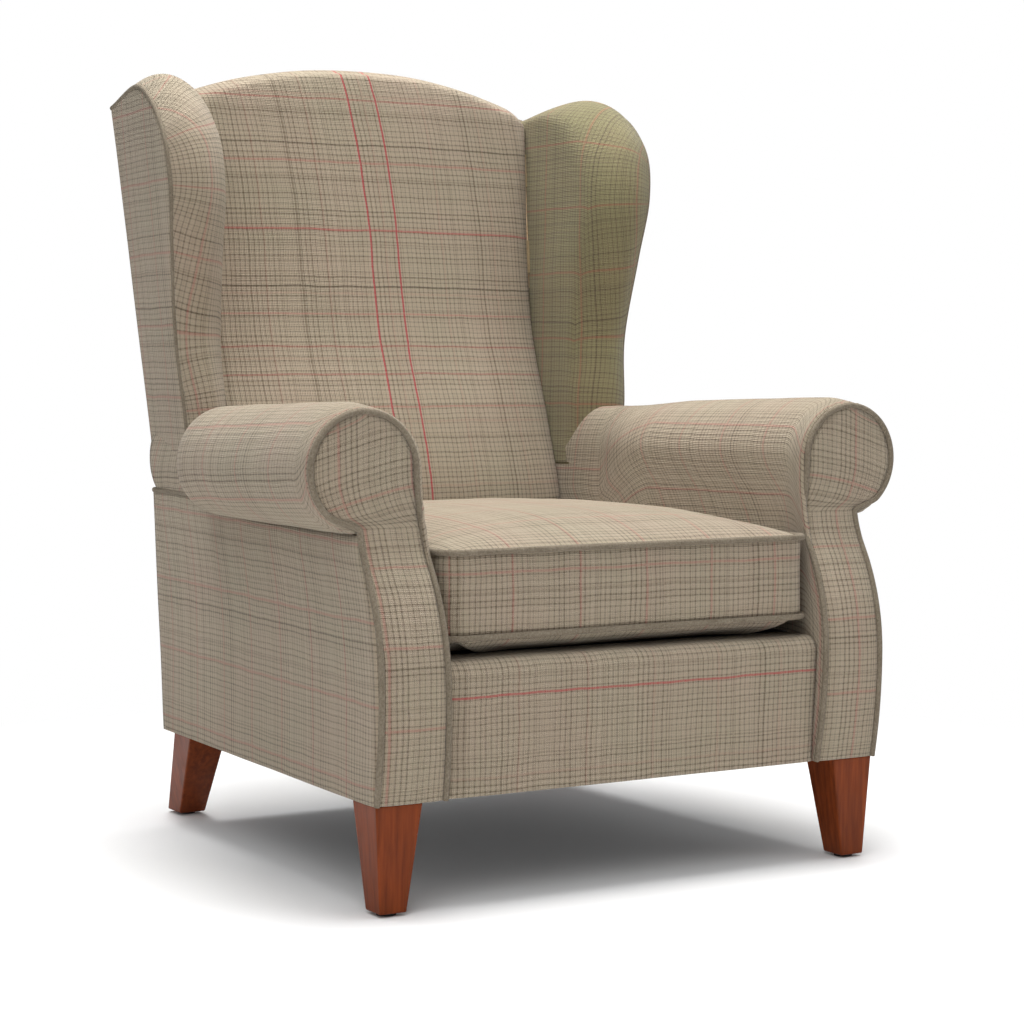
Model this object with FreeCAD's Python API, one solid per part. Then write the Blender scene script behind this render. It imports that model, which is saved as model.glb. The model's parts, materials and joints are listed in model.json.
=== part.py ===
"""Wing armchair: hardwood frame, sprung seat, padded and covered, with a loose boxed cushion.

x = 0 is the middle of the chair, -y is the front, z = 0 is the floor. Sizes are millimetres.
The chair is built on its right (+x) side and mirrored where a piece comes in a pair.
"""
import FreeCAD
import Part

import math
import os

Vector = FreeCAD.Vector

# Overall sizes of the finished, covered chair
LEG_HEIGHT = 135.0
FRONT_Y = -394.0
BACK_Y = 306.0
BACK_LEAN = 5.9
CREST_Z = 1086.0
CREST_RADIUS = 853.0
ARM_FRONT_HALF_WIDTH = 374.5
ARM_REAR_HALF_WIDTH = 342.0

# Inside faces of arms and wings, one leaning plane each side
INNER_BASE_X = 273.0
INNER_SLOPE = 0.023

# Arm scroll, its radius tapering to the rear under a straight outermost line
SCROLL_REACH = 437.5
SCROLL_Z = 527.0
SCROLL_FALL = 0.01
SCROLL_RADIUS = 77.5
SCROLL_TAPER = 0.02
SCROLL_END_Y = 13.0
SCROLL_END_RUN = 115.0
SCROLL_END_BULGE = 0.58

# Arm front in side view: a belly, then a backward sweep up to the upright face of the scroll
FACING_INSET = 10.0
FACING_BELLY = 14.0
FACING_BELLY_Z = 275.0
FACING_BELLY_RADIUS = 262.0
FACING_SWEEP = 31.0
SCROLL_FACE_Y = -351.0

# Seat and front border
DECK_Z = 300.0
BORDER_DEPTH = 26.0
BORDER_LEAN = 2.2
BORDER_LIP_RADIUS = 20.0
BORDER_LIP_DEPTH = 62.0

# Wing: points (y, z, share that follows the top roll) along its front and top edge
SEAM_Z = 473.0
ARM_END_Y = 195.0
WING_FLARE = 0.0865
WING_TOE_IN = 0.09
WING_FOOT_Y = 185.0
WING_FOOT_Z = 590.0
WING_EDGE = (
    (196.0, 690.0, 0.0),
    (177.0, 807.0, 0.0),
    (161.0, 900.0, 0.0),
    (182.0, 977.0, 0.3),
    (262.0, 1033.0, 0.6),
)
WING_REAR_Z = 1016.0
WING_STATIONS = (0.0, 0.2, 0.5, 0.8, 1.0)
ROLL_FRONT = (0.0, 18.0, 20.0, 4.0, -22.0)
ROLL_TOP = (0.0, 16.0, 20.0, 16.0, 8.0)

# Inside back: points (z, y at the sides, crown in the middle), from the deck to the crest
BACK_TUCK_Y = 220.0
BACK_FACE = (
    (330.0, 222.0, 8.0),
    (447.0, 228.0, 20.0),
    (565.0, 268.0, 28.0),
    (700.0, 318.0, 28.0),
    (850.0, 341.0, 24.0),
)
BACK_TOP_Y = 353.0
BACK_TOP_CROWN = 14.0
BACK_TOP_ROLL = 30.0
BACK_SECTIONS = (-1.0, -0.5, 0.0, 0.5, 1.0)

# Cloth, piping and working clearances
CLOTH = 1.5
GAP = 0.3
PIPING = 8.0
PIPING_PROUD = 1.8

# Hardwood frame
RAIL_HEIGHT = 110.0
RAIL_THICKNESS = 28.0
POST_WIDTH = 56.0
POST_DEPTH = 45.0
BACK_POST_WIDTH = 40.0
BACK_FRAME_DEPTH = 26.0
BACK_POST_TOP = 1000.0
CREST_RAIL_HEIGHT = 62.0
CREST_PAD = 16.0
LUMBAR_RAIL_Z = 322.0
LUMBAR_RAIL_HEIGHT = 45.0
ARM_RAIL_WIDTH = 38.0
ARM_RAIL_FROM_SIDE = 12.0
ARM_RAIL_HEIGHT = 40.0
ARM_RAIL_Z = 490.0
ARM_RAIL_FALL = 0.047
TACK_RAIL_WIDTH = 24.0
TACK_RAIL_HEIGHT = 34.0
TACK_RAIL_FROM_INSIDE = 30.0
SCROLL_BOARD = 18.0
WING_FRAME_THICKNESS = 22.0
WING_FRAME_INSET = 30.0
WING_FRAME_MEMBER = 48.0
BLOCK_LEG = 62.0
BLOCK_HEIGHT = 50.0
SCREW_DIAMETER = 5.0
SCREW_LENGTH = 46.0
SCREW_HEAD_DIAMETER = 9.0
SCREW_HEAD = 3.0
SCREW_PLACE = 0.45

# Springs, webbing and seat layers
SPRING_COUNT = 5
SPRING_WIRE = 3.8
SPRING_PITCH = 30.0
SPRING_LOOP_WIDTH = 50.0
SPRING_SPACING = 100.0
SPRING_LIFT = 6.0
CLIP_LENGTH = 18.0
CLIP_WIDTH = 14.0
CLIP_WALL = 1.2
TIE_WIRE = 2.4
TIE_WIRES = 2
TIE_OVERHANG = 40.0
HESSIAN = 1.0
WEBBING_WIDTH = 50.0
WEBBING = 1.2
WEBBING_UPRIGHTS = 4
WEBBING_CROSSES = 5

# Legs
FRONT_LEG_TOP = (63.0, 61.0)
FRONT_LEG_FOOT = (36.0, 38.0)
FRONT_LEG_FROM_SIDE = 5.0
FRONT_LEG_FROM_FRONT = 1.0
FRONT_LEG_TOE = 8.0
FRONT_LEG_RAKE = 6.0
REAR_LEG_TOP = (56.0, 58.0)
REAR_LEG_FOOT = (40.0, 44.0)
REAR_LEG_X = 304.0
REAR_LEG_FROM_BACK = 44.0
REAR_LEG_RAKE = 104.0
REAR_LEG_SPLAY = -22.0
GLIDE_DIAMETER = 24.0
GLIDE_HEIGHT = 4.0
BOLT_DIAMETER = 8.0
BOLT_IN_LEG = 24.0
BOLT_IN_FRAME = 45.0

# Seat cushion
CUSHION_HALF_WIDTH = 270.0
CUSHION_FRONT_Y = -387.0
CUSHION_REAR_Y = 188.0
CUSHION_BOX_LIFT = 25.0
CUSHION_BOX_HEIGHT = 103.0
CUSHION_TOP_CROWN = 43.0
CUSHION_CORNER = 30.0
CUSHION_CORNER_GROWTH = 0.25
CUSHION_DRAW = 5.0
CROWN_STEPS = ((0.0, 0.0), (0.42, 26.0), (0.78, 84.0), (1.0, 170.0))
CUSHION_PIPING_OUT = 4.0

# Zip in the rear boxing
ZIP_LENGTH = 440.0
ZIP_TAPE_HEIGHT = 26.0
ZIP_TAPE = 0.8
ZIP_CHAIN_HEIGHT = 6.0
ZIP_CHAIN = 1.6
SLIDER_LENGTH = 11.0
SLIDER_HEIGHT = 12.0
SLIDER_DEPTH = 4.2
SLIDER_PULL = (5.0, 1.0, 22.0)

# Reach of the forms that other forms are trimmed with
FAR = 600.0
TALL = 1300.0
OVERRUN = 60.0
TRIM = 8.0

# Heights and depths that follow from the sizes above
RAIL_BOTTOM = LEG_HEIGHT
RAIL_TOP = RAIL_BOTTOM + RAIL_HEIGHT
SPRING_Z = RAIL_TOP + SPRING_LIFT
PAD_BASE_Z = SPRING_Z + SPRING_WIRE / 2 + TIE_WIRE + HESSIAN + 3 * GAP
LINING = CLOTH + GAP
PIPING_BED = PIPING - PIPING_PROUD
MIDDLE = Vector(0, 0, 0)
ACROSS = Vector(1, 0, 0)
UP = Vector(0, 0, 1)


# Basic shapes and placing

def box(x0, x1, y0, y1, z0, z1):
    return Part.makeBox(x1 - x0, y1 - y0, z1 - z0, Vector(x0, y0, z0))


def prism(points, direction):
    """Solid from a closed outline of points, pushed along a direction."""
    return Part.Face(Part.makePolygon(points + points[:1])).extrude(direction)


def plan_prism(points, z0, z1):
    return prism([Vector(x, y, z0) for x, y in points], Vector(0, 0, z1 - z0))


def side_prism(points, x0, x1):
    return prism([Vector(x0, y, z) for y, z in points], Vector(x1 - x0, 0, 0))


def mirrored(shape):
    return shape.mirror(MIDDLE, ACROSS)


def line(a, b):
    return Part.LineSegment(a, b).toShape()


def arc(a, middle, b):
    return Part.Arc(a, middle, b).toShape()


def arc_arriving(start, end, along):
    """Arc that leaves a start and reaches its end along a unit direction."""
    chord = start - end
    across = (chord - along * chord.dot(along)).normalize()
    radius = chord.dot(chord) / (2 * chord.dot(across))
    centre = end + across * radius
    halfway = (start + end - centre * 2).normalize()
    return arc(start, centre + halfway * radius, end)


def rod(diameter, length, base, direction):
    return Part.makeCylinder(diameter / 2, length, base, direction)


def lean_back(shape):
    """Tip a shape that was built upright onto the leaning plane of the back."""
    leaned = shape.copy()
    leaned.rotate(Vector(0, BACK_Y, LEG_HEIGHT), ACROSS, -BACK_LEAN)
    return leaned


def cut_by(shape, tools):
    for tool in tools:
        shape = shape.cut(tool)
    return shape


def largest_solid(shape):
    return max(shape.Solids, key=lambda solid: solid.Volume)


# Reference surfaces

def outer_x(y):
    """Half width of the outside arm at depth y."""
    share = (y - FRONT_Y) / (BACK_Y - FRONT_Y)
    return ARM_FRONT_HALF_WIDTH + share * (ARM_REAR_HALF_WIDTH - ARM_FRONT_HALF_WIDTH)


def inner_x(z):
    """Half distance between the inside faces of arms and wings at height z."""
    return INNER_BASE_X + INNER_SLOPE * (z - LEG_HEIGHT)


def wing_x(y, z):
    """Half width of the outside wing, which flares from the arm seam upwards and toes in to the rear."""
    return outer_x(ARM_END_Y) - WING_TOE_IN * (y - ARM_END_Y) + WING_FLARE * (z - SEAM_Z)


def rear_y(z):
    return BACK_Y + math.tan(math.radians(BACK_LEAN)) * (z - LEG_HEIGHT)


def scroll_z(y):
    return SCROLL_Z - SCROLL_FALL * (y - FRONT_Y)


def scroll_radius(y):
    return SCROLL_RADIUS - SCROLL_TAPER * (y - FRONT_Y)


def arm_rail_z(y):
    """Height of the middle of the arm rail, which falls to the rear."""
    return ARM_RAIL_Z - ARM_RAIL_FALL * (y - FRONT_Y)


def crest_z(x):
    return CREST_Z - CREST_RADIUS + math.sqrt(CREST_RADIUS ** 2 - x ** 2)


def between_sides(clearance):
    """Everything between the inside faces of the arms and wings."""
    points = [
        Vector(-inner_x(0) + clearance, -FAR, 0),
        Vector(inner_x(0) - clearance, -FAR, 0),
        Vector(inner_x(TALL) - clearance, -FAR, TALL),
        Vector(-inner_x(TALL) + clearance, -FAR, TALL),
    ]
    return prism(points, Vector(0, 2 * FAR, 0))


def facing_edges(depth):
    """The arm's front line in side view, set back by a depth: belly, backward sweep and upright face."""
    sweep = math.radians(FACING_SWEEP)
    face_y = SCROLL_FACE_Y + depth
    foot = Vector(-FAR, FRONT_Y + depth, LEG_HEIGHT)
    widest = Vector(-FAR, foot.y - FACING_BELLY, FACING_BELLY_Z)
    both_radii = (face_y - widest.y) / (1 - math.cos(sweep))
    neck_radius = both_radii - FACING_BELLY_RADIUS
    belly_centre = widest + Vector(0, FACING_BELLY_RADIUS, 0)
    neck_centre = Vector(-FAR, face_y - neck_radius, FACING_BELLY_Z + both_radii * math.sin(sweep))

    def on_belly(angle):
        return belly_centre + Vector(0, -math.cos(angle), math.sin(angle)) * FACING_BELLY_RADIUS

    def on_neck(angle):
        return neck_centre + Vector(0, math.cos(angle), -math.sin(angle)) * neck_radius

    end = Vector(-FAR, face_y, TALL)
    edges = [
        arc_arriving(foot, widest, UP),
        arc(widest, on_belly(sweep / 2), on_belly(sweep)),
        arc(on_belly(sweep), on_neck(sweep / 2), on_neck(0)),
        line(on_neck(0), end),
    ]
    return edges, foot, end


def behind_facing(depth):
    """Everything behind the arm's front line, set back by a depth."""
    edges, foot, end = facing_edges(depth)
    rear_top = Vector(-FAR, FAR, end.z)
    rear_foot = Vector(-FAR, FAR, foot.z)
    edges += [line(end, rear_top), line(rear_top, rear_foot), line(rear_foot, foot)]
    return Part.Face(Part.Wire(edges)).extrude(ACROSS * (2 * FAR))


def facing_slice(front, back):
    return behind_facing(front).cut(behind_facing(back))


# Arm

def arm_outline(y, inset):
    """Cross-section of the arm at depth y: inside face, scroll, neck and outside face."""
    radius = scroll_radius(y) - inset
    middle = Vector(SCROLL_REACH - scroll_radius(y), y, scroll_z(y))
    side = outer_x(y) - inset
    turn = -math.acos((side - middle.x) / radius)

    def on_scroll(angle):
        return middle + Vector(math.cos(angle), 0, math.sin(angle)) * radius

    inside_foot = Vector(inner_x(LEG_HEIGHT) + inset, y, LEG_HEIGHT)
    inside_top = Vector(inner_x(middle.z) + inset, y, middle.z)
    top = on_scroll(math.pi / 2)
    outermost = on_scroll(0)
    neck = on_scroll(turn)
    outside_foot = Vector(side, y, LEG_HEIGHT)
    return Part.Wire([
        line(inside_foot, inside_top),
        arc_arriving(inside_top, top, ACROSS),
        arc(top, on_scroll(math.pi / 4), outermost),
        arc(outermost, on_scroll(turn / 2), neck),
        line(neck, outside_foot),
        line(outside_foot, inside_foot),
    ])


def arm_plan(inset):
    """Plan of the arm: the scroll rounds off in front of the wing, and the rest runs on to the back."""
    widest = SCROLL_REACH - inset
    stop = SCROLL_END_Y + SCROLL_END_RUN - inset
    start = SCROLL_END_Y - inset
    side = outer_x(stop) - inset
    shoulder = Vector(widest, start, 0)
    landing = Vector(side, stop, 0)
    middle = Vector(side + (widest - side) * SCROLL_END_BULGE, start + (stop - start) * SCROLL_END_BULGE, 0)
    beyond = Vector(GAP, 0, 0)
    front_out = Vector(widest, -FAR, 0) + beyond
    front_in = Vector(0, -FAR, 0)
    rear_in = Vector(0, FAR, 0)
    rear_out = Vector(outer_x(FAR) - inset, FAR, 0)
    outline = Part.Wire([
        line(front_in, front_out),
        line(front_out, shoulder + beyond),
        line(shoulder + beyond, shoulder),
        arc(shoulder, middle, landing),
        line(landing, rear_out),
        line(rear_out, rear_in),
        line(rear_in, front_in),
    ])
    return Part.Face(outline).extrude(Vector(0, 0, TALL))


def whole_arm(inset):
    sections = [arm_outline(FRONT_Y - OVERRUN, inset), arm_outline(BACK_Y + OVERRUN, inset)]
    return Part.makeLoft(sections, True, True)


def arm_body(inset):
    """The arm as one closed form, from in front of the facing to the rear plane of the back."""
    body = whole_arm(inset).common(arm_plan(inset))
    body = body.cut(box(0, FAR, ARM_END_Y, FAR, SEAM_Z - PIPING_PROUD - GAP, TALL))
    return body.cut(behind_back(LINING))


def behind_back(depth):
    """Everything behind the leaning rear plane, moved forward by a depth."""
    return lean_back(box(-FAR, FAR, BACK_Y - depth, BACK_Y + FAR, -FAR, TALL))


def outside_arm_zone():
    """Side view of the outside arm: up to the scroll's neck, and behind the scroll up to the wing seam."""
    stop = SCROLL_END_Y + SCROLL_END_RUN
    points = [
        (-FAR, 0),
        (-FAR, scroll_z(-FAR) - scroll_radius(-FAR) - GAP),
        (stop, scroll_z(stop) - scroll_radius(stop) - GAP),
        (stop, SEAM_Z - PIPING / 2),
        (FAR, SEAM_Z - PIPING / 2),
        (FAR, 0),
    ]
    return side_prism(points, (INNER_BASE_X + ARM_REAR_HALF_WIDTH) / 2, FAR)


def arm_shell():
    shell = arm_body(0).cut(arm_body(CLOTH))
    return shell.common(behind_facing(PIPING / 2 + GAP))


def inside_arm_cover():
    cover = cut_by(arm_shell(), [outside_arm_zone(), back_frame_zone()])
    return largest_solid(cover.common(box(0, FAR, -FAR, FAR, PAD_BASE_Z, TALL)))


def outside_arm_cover():
    return largest_solid(arm_shell().common(outside_arm_zone()))


def arm_facing(front, back, inset):
    """A slice of the arm's front, between two depths, drawn in from the arm's outline by an inset."""
    return whole_arm(inset).common(facing_slice(front, back))


def arm_facing_cover():
    return arm_facing(0, CLOTH, FACING_INSET)


def scroll_board():
    return arm_facing(LINING, board_back(), FACING_INSET)


def facing_piping():
    inset = FACING_INSET - GAP
    outer = arm_facing(-PIPING / 2, PIPING / 2, inset - PIPING)
    inner = arm_facing(-PIPING, PIPING, inset)
    lower = box(0, FAR, -FAR, FAR, 0, LEG_HEIGHT + GAP)
    return outer.cut(inner).cut(lower)


def arm_pad(wood):
    pad = arm_body(LINING).common(behind_facing(PIPING / 2 + 2 * GAP))
    pad = pad.cut(arm_facing(0, board_back() + GAP, FACING_INSET - GAP))
    pad = pad.common(box(0, FAR, -FAR, FAR, PAD_BASE_Z, TALL))
    hollow_x = inner_x(DECK_Z) + TACK_RAIL_FROM_INSIDE
    hollow_top = arm_rail_z(BACK_Y) - ARM_RAIL_HEIGHT / 2
    pad = pad.cut(box(hollow_x, FAR, post_back_y(), FAR, 0, hollow_top))
    return largest_solid(cut_by(pad, [back_frame_zone()] + wood))


# Wing

def wing_points(front_grow, top_grow):
    """The wing's edge in side view, moved outwards; the top share blends the two amounts."""
    foot = (WING_FOOT_Y, WING_FOOT_Z)
    rear = (rear_y(WING_REAR_Z), WING_REAR_Z)
    chain = [foot] + [(y, z) for y, z, _ in WING_EDGE] + [rear]
    moved = []
    for index, (y, z, share) in enumerate(WING_EDGE, start=1):
        before = chain[index - 1]
        after = chain[index + 1]
        along = Vector(after[0] - before[0], after[1] - before[1], 0).normalize()
        grow = front_grow * (1 - share) + top_grow * share
        moved.append((y - along.y * grow, z + along.x * grow))
    top = rear[1] + top_grow
    return foot, moved, (rear_y(top), top)


def wing_outline(x_of, front_grow, top_grow, foot_grow=0.0, seam_grow=0.0):
    """The wing's outline on a leaning plane: foot, curved edge, straight top, rear and seam."""
    foot, edge, rear = wing_points(front_grow, top_grow)

    def at(y, z):
        return Vector(x_of(y, z), y, z)

    seam = SEAM_Z - seam_grow
    foot = (foot[0] - foot_grow, foot[1])
    curve = Part.BSplineCurve()
    curve.interpolate([at(*foot)] + [at(*point) for point in edge])
    seam_front = at(foot[0], seam)
    seam_rear = at(rear_y(seam), seam)
    return Part.Wire([
        line(seam_front, at(*foot)),
        curve.toShape(),
        line(at(*edge[-1]), at(*rear)),
        line(at(*rear), seam_rear),
        line(seam_rear, seam_front),
    ])


def wing_body(inset):
    """The padded wing: outlines between the flared outer plane and the inside plane, swelling to a roll."""
    sections = []
    for station, front, top in zip(WING_STATIONS, ROLL_FRONT, ROLL_TOP):
        def x_of(y, z, station=station):
            return (1 - station) * (wing_x(y, z) - inset) + station * (inner_x(z) + inset)
        sections.append(wing_outline(x_of, front - inset, top - inset))
    return Part.makeLoft(sections, True, False)


def wing_slab(grow, seam_grow, inner, outer):
    """A flat slab on the outside wing, between two distances from the outer plane."""
    sections = []
    for distance in (inner, outer):
        def x_of(y, z, distance=distance):
            return wing_x(y, z) + distance
        sections.append(wing_outline(x_of, grow, grow, grow, seam_grow))
    return Part.makeLoft(sections, True, True)


def arm_clearance():
    return arm_body(-GAP).common(box(0, FAR, -FAR, ARM_END_Y + GAP, 0, TALL))


def wing_rim():
    """Everything of the wing that lies outside its inner cover: the piping and the outside cover."""
    return wing_slab(3 * PIPING, 3 * PIPING, -PIPING_BED - GAP, 3 * PIPING)


def above_seam():
    return box(0, FAR, -FAR, FAR, SEAM_Z + GAP, TALL)


def inside_wing_cover(arm_space):
    shell = wing_body(0).cut(wing_body(CLOTH)).common(above_seam())
    return largest_solid(cut_by(shell, [wing_rim(), arm_space, back_frame_zone(), behind_back(LINING)]))


def outside_wing_cover(arm_space):
    grow = -PIPING_BED - GAP
    plate = wing_slab(grow, grow, -CLOTH, 0)
    return largest_solid(cut_by(plate, [arm_space, behind_back(LINING)]))


def wing_piping(arm_space):
    ring = wing_slab(PIPING_PROUD, PIPING_PROUD, -PIPING_BED, PIPING_PROUD)
    ring = ring.cut(wing_slab(-PIPING_BED, -PIPING_BED, -2 * PIPING, 2 * PIPING))
    return largest_solid(cut_by(ring, [arm_space, behind_back(LINING)]))


def wing_frame(arm_space, inner_parts):
    """Bent board under the outside wing: front and top members with an open middle."""
    outer = -PIPING_BED - GAP
    inner = outer - WING_FRAME_THICKNESS
    board = wing_slab(-WING_FRAME_INSET, 0, inner, outer)
    hole = -WING_FRAME_INSET - WING_FRAME_MEMBER
    board = board.cut(wing_slab(hole, -WING_FRAME_MEMBER, inner - OVERRUN, OVERRUN))
    board = board.common(above_seam())
    return largest_solid(cut_by(board, [arm_space, behind_back(LINING)] + inner_parts))


def wing_pad(arm_space, inner_parts):
    pad = wing_body(LINING).common(above_seam())
    tools = [wing_rim(), arm_space, back_frame_zone(), behind_back(LINING)] + inner_parts
    return largest_solid(cut_by(pad, tools))


# Hardwood frame

def front_inside_y():
    return FRONT_Y + BORDER_DEPTH + RAIL_THICKNESS


def board_back():
    return LINING + SCROLL_BOARD


def arm_post():
    """Front post of the arm behind the scroll board, straight below and swept back with it above."""
    x1 = outer_x(FRONT_Y + POST_DEPTH) - LINING
    top = arm_rail_z(FRONT_Y) + ARM_RAIL_HEIGHT / 2
    post = box(x1 - POST_WIDTH, x1, -FAR, FAR, RAIL_BOTTOM, top).common(arm_body(LINING))
    behind = behind_facing(board_back() + POST_DEPTH).common(box(0, FAR, post_back_y(), FAR, 0, TALL))
    return post.common(behind_facing(board_back())).cut(behind)


def post_back_y():
    """Rear of the straight part of the arm post."""
    return FRONT_Y + board_back() + POST_DEPTH


def post_top_back_y():
    """Rear of the swept top of the arm post."""
    return SCROLL_FACE_Y + board_back() + POST_DEPTH


def back_post_outer_x():
    return wing_x(rear_y(SEAM_Z), SEAM_Z) - PIPING_BED - GAP


def back_post_inner_x():
    return back_post_outer_x() - BACK_POST_WIDTH


def back_post():
    y1 = BACK_Y - LINING
    post = box(back_post_inner_x(), back_post_outer_x(), y1 - BACK_FRAME_DEPTH, y1, 0, BACK_POST_TOP)
    return lean_back(post).common(box(0, FAR, 0, FAR, RAIL_BOTTOM, TALL))


def back_frame_zone():
    """Room of the back frame and its webbing, up to the tops of the posts."""
    half = back_post_outer_x() + GAP
    return lean_back(box(-half, half, webbing_layer(1)[0] - GAP, FAR, 0, BACK_POST_TOP + GAP))


def in_front_of_back_frame():
    return lean_back(box(-FAR, FAR, -FAR, BACK_Y - LINING - BACK_FRAME_DEPTH, -FAR, TALL))


def side_rail():
    y0 = post_back_y()
    y1 = BACK_Y
    points = [
        (outer_x(y0) - LINING, y0),
        (outer_x(y1) - LINING, y1),
        (outer_x(y1) - LINING - RAIL_THICKNESS, y1),
        (outer_x(y0) - LINING - RAIL_THICKNESS, y0),
    ]
    return plan_prism(points, RAIL_BOTTOM, RAIL_TOP).common(in_front_of_back_frame())


def front_rail():
    half = outer_x(FRONT_Y + POST_DEPTH) - LINING - POST_WIDTH
    return box(-half, half, FRONT_Y + BORDER_DEPTH, front_inside_y(), RAIL_BOTTOM, RAIL_TOP)


def rear_rail():
    half = back_post_inner_x()
    y1 = BACK_Y - LINING
    rail = box(-half, half, y1 - BACK_FRAME_DEPTH, y1, 0, TALL)
    return lean_back(rail).common(box(-FAR, FAR, -FAR, FAR, RAIL_BOTTOM, RAIL_TOP))


def crest_prism(drop, y0, y1):
    """Upright block under the arched crest, its top lowered by a drop, as deep as y0 to y1."""
    half = ARM_REAR_HALF_WIDTH
    stretch = 1 / math.cos(math.radians(BACK_LEAN))

    def top(x):
        return Vector(x, y0, LEG_HEIGHT + (crest_z(x) - LEG_HEIGHT) * stretch - drop)

    left = Vector(-half, y0, 0)
    right = Vector(half, y0, 0)
    outline = Part.Wire([
        line(left, top(-half)),
        arc(top(-half), top(0), top(half)),
        line(top(half), right),
        line(right, left),
    ])
    return Part.Face(outline).extrude(Vector(0, y1 - y0, 0))


def crest_rail():
    half = back_post_inner_x()
    y1 = BACK_Y - LINING
    y0 = y1 - BACK_FRAME_DEPTH
    rail = crest_prism(CREST_PAD, y0, y1).cut(crest_prism(CREST_PAD + CREST_RAIL_HEIGHT, y0, y1))
    return lean_back(rail.common(box(-half, half, -FAR, FAR, 0, TALL)))


def lumbar_rail():
    half = back_post_inner_x()
    y1 = BACK_Y - LINING
    top = LUMBAR_RAIL_Z + LUMBAR_RAIL_HEIGHT
    return lean_back(box(-half, half, y1 - BACK_FRAME_DEPTH, y1, LUMBAR_RAIL_Z, top))


def arm_rail():
    """Rail under the scroll, from the arm post to the back post."""
    y0 = post_top_back_y()
    y1 = BACK_Y + OVERRUN
    inner = ARM_RAIL_FROM_SIDE + ARM_RAIL_WIDTH
    points = [
        (outer_x(y0) - ARM_RAIL_FROM_SIDE, y0),
        (outer_x(y1) - ARM_RAIL_FROM_SIDE, y1),
        (outer_x(y1) - inner, y1),
        (outer_x(y0) - inner, y0),
    ]

    def edge(y, way):
        return (y, arm_rail_z(y) + way * ARM_RAIL_HEIGHT / 2)

    side = side_prism([edge(y0, -1), edge(y1, -1), edge(y1, 1), edge(y0, 1)], 0, FAR)
    return plan_prism(points, 0, TALL).common(side).common(in_front_of_back_frame())


def tack_rail():
    """Lower rail that the inside arm is tacked to, just above the seat rails."""
    x0 = inner_x(DECK_Z) + TACK_RAIL_FROM_INSIDE - TACK_RAIL_WIDTH
    y0 = post_back_y()
    rail = box(x0, x0 + TACK_RAIL_WIDTH, y0, FAR, PAD_BASE_Z + GAP, PAD_BASE_Z + GAP + TACK_RAIL_HEIGHT)
    return rail.common(in_front_of_back_frame())


def block_corner(y):
    return outer_x(y) - LINING, y


def corner_block(y, way, neighbours):
    """Triangular glue block in the corner of a side rail and a cross member that faces depth y."""
    reach, y = block_corner(y)
    side = BLOCK_LEG + RAIL_THICKNESS
    points = [(reach, y), (reach - side, y), (reach, y + way * side)]
    block = plan_prism(points, RAIL_BOTTOM, RAIL_BOTTOM + BLOCK_HEIGHT)
    return largest_solid(cut_by(block, neighbours))


def screw(head, direction):
    """Wood screw with a flat head, from the outer face of its head along a direction."""
    shank = rod(SCREW_DIAMETER, SCREW_LENGTH, head, direction)
    return shank.fuse(rod(SCREW_HEAD_DIAMETER, SCREW_HEAD, head, direction)).removeSplitter()


def block_screws(y, way):
    """Two screws through a corner block: one into the cross member, one into the side rail."""
    reach, y = block_corner(y)
    third = BLOCK_HEIGHT / 3
    along = BLOCK_LEG * SCREW_PLACE
    head = Vector(reach - RAIL_THICKNESS - along, y + way * along, RAIL_BOTTOM + third)
    return [screw(head + UP * third, Vector(0, -way, 0)), screw(head, ACROSS)]


# Springs and webbing

def spring_ends():
    """Depths of the first and last cross run, held by the clips on the front and rear rails."""
    front = front_inside_y() - RAIL_THICKNESS / 2
    rear = rear_y(SPRING_Z) - LINING - BACK_FRAME_DEPTH / 2
    return front, rear


def spring_path(x):
    """Zigzag wire in plan: cross runs joined by half loops, each made of two quarter turns."""
    front, rear = spring_ends()
    count = round((rear - front) / SPRING_PITCH)
    radius = (rear - front) / count / 2
    reach = SPRING_LOOP_WIDTH / 2 - radius
    quarter = radius * math.sqrt(0.5)

    def at(dx, y):
        return Vector(x + dx, y, SPRING_Z)

    edges = []
    for index in range(count + 1):
        side = 1 if index % 2 == 0 else -1
        y = front + 2 * radius * index
        edges.append(line(at(-side * reach, y), at(side * reach, y)))
        if index == count:
            break
        out = side * (reach + radius)
        bend = side * (reach + quarter)
        middle = y + radius
        edges.append(arc(at(side * reach, y), at(bend, middle - quarter), at(out, middle)))
        edges.append(arc(at(out, middle), at(bend, middle + quarter), at(side * reach, middle + radius)))
    return Part.Wire(edges)


def zigzag_spring(x):
    path = spring_path(x)
    start = path.OrderedEdges[0]
    tangent = start.tangentAt(start.FirstParameter)
    ring = Part.Circle(path.OrderedVertexes[0].Point, tangent, SPRING_WIRE / 2)
    return path.makePipeShell([Part.Wire([ring.toShape()])], True, False)


def spring_places():
    middle = (SPRING_COUNT - 1) / 2
    return [(index - middle) * SPRING_SPACING for index in range(SPRING_COUNT)]


def spring_clip(x, y):
    """Bent steel clip on a rail, round one cross run of a spring."""
    top = SPRING_Z + SPRING_WIRE / 2 + CLIP_WALL
    x0 = x - CLIP_WIDTH / 2
    y0 = y - CLIP_LENGTH / 2
    block = box(x0, x0 + CLIP_WIDTH, y0, y0 + CLIP_LENGTH, RAIL_TOP, top)
    bore = rod(SPRING_WIRE + 2 * GAP, CLIP_WIDTH, Vector(x0, y, SPRING_Z), ACROSS)
    return block.cut(bore)


def tie_wires():
    """Straight wires across the springs, lying on them."""
    front, rear = spring_ends()
    half = (SPRING_COUNT - 1) / 2 * SPRING_SPACING + TIE_OVERHANG
    z = SPRING_Z + SPRING_WIRE / 2 + GAP + TIE_WIRE / 2
    wires = []
    for index in range(TIE_WIRES):
        y = front + (rear - front) * (index + 1) / (TIE_WIRES + 1)
        wires.append(rod(TIE_WIRE, 2 * half, Vector(-half, y, z), ACROSS))
    return wires


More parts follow.
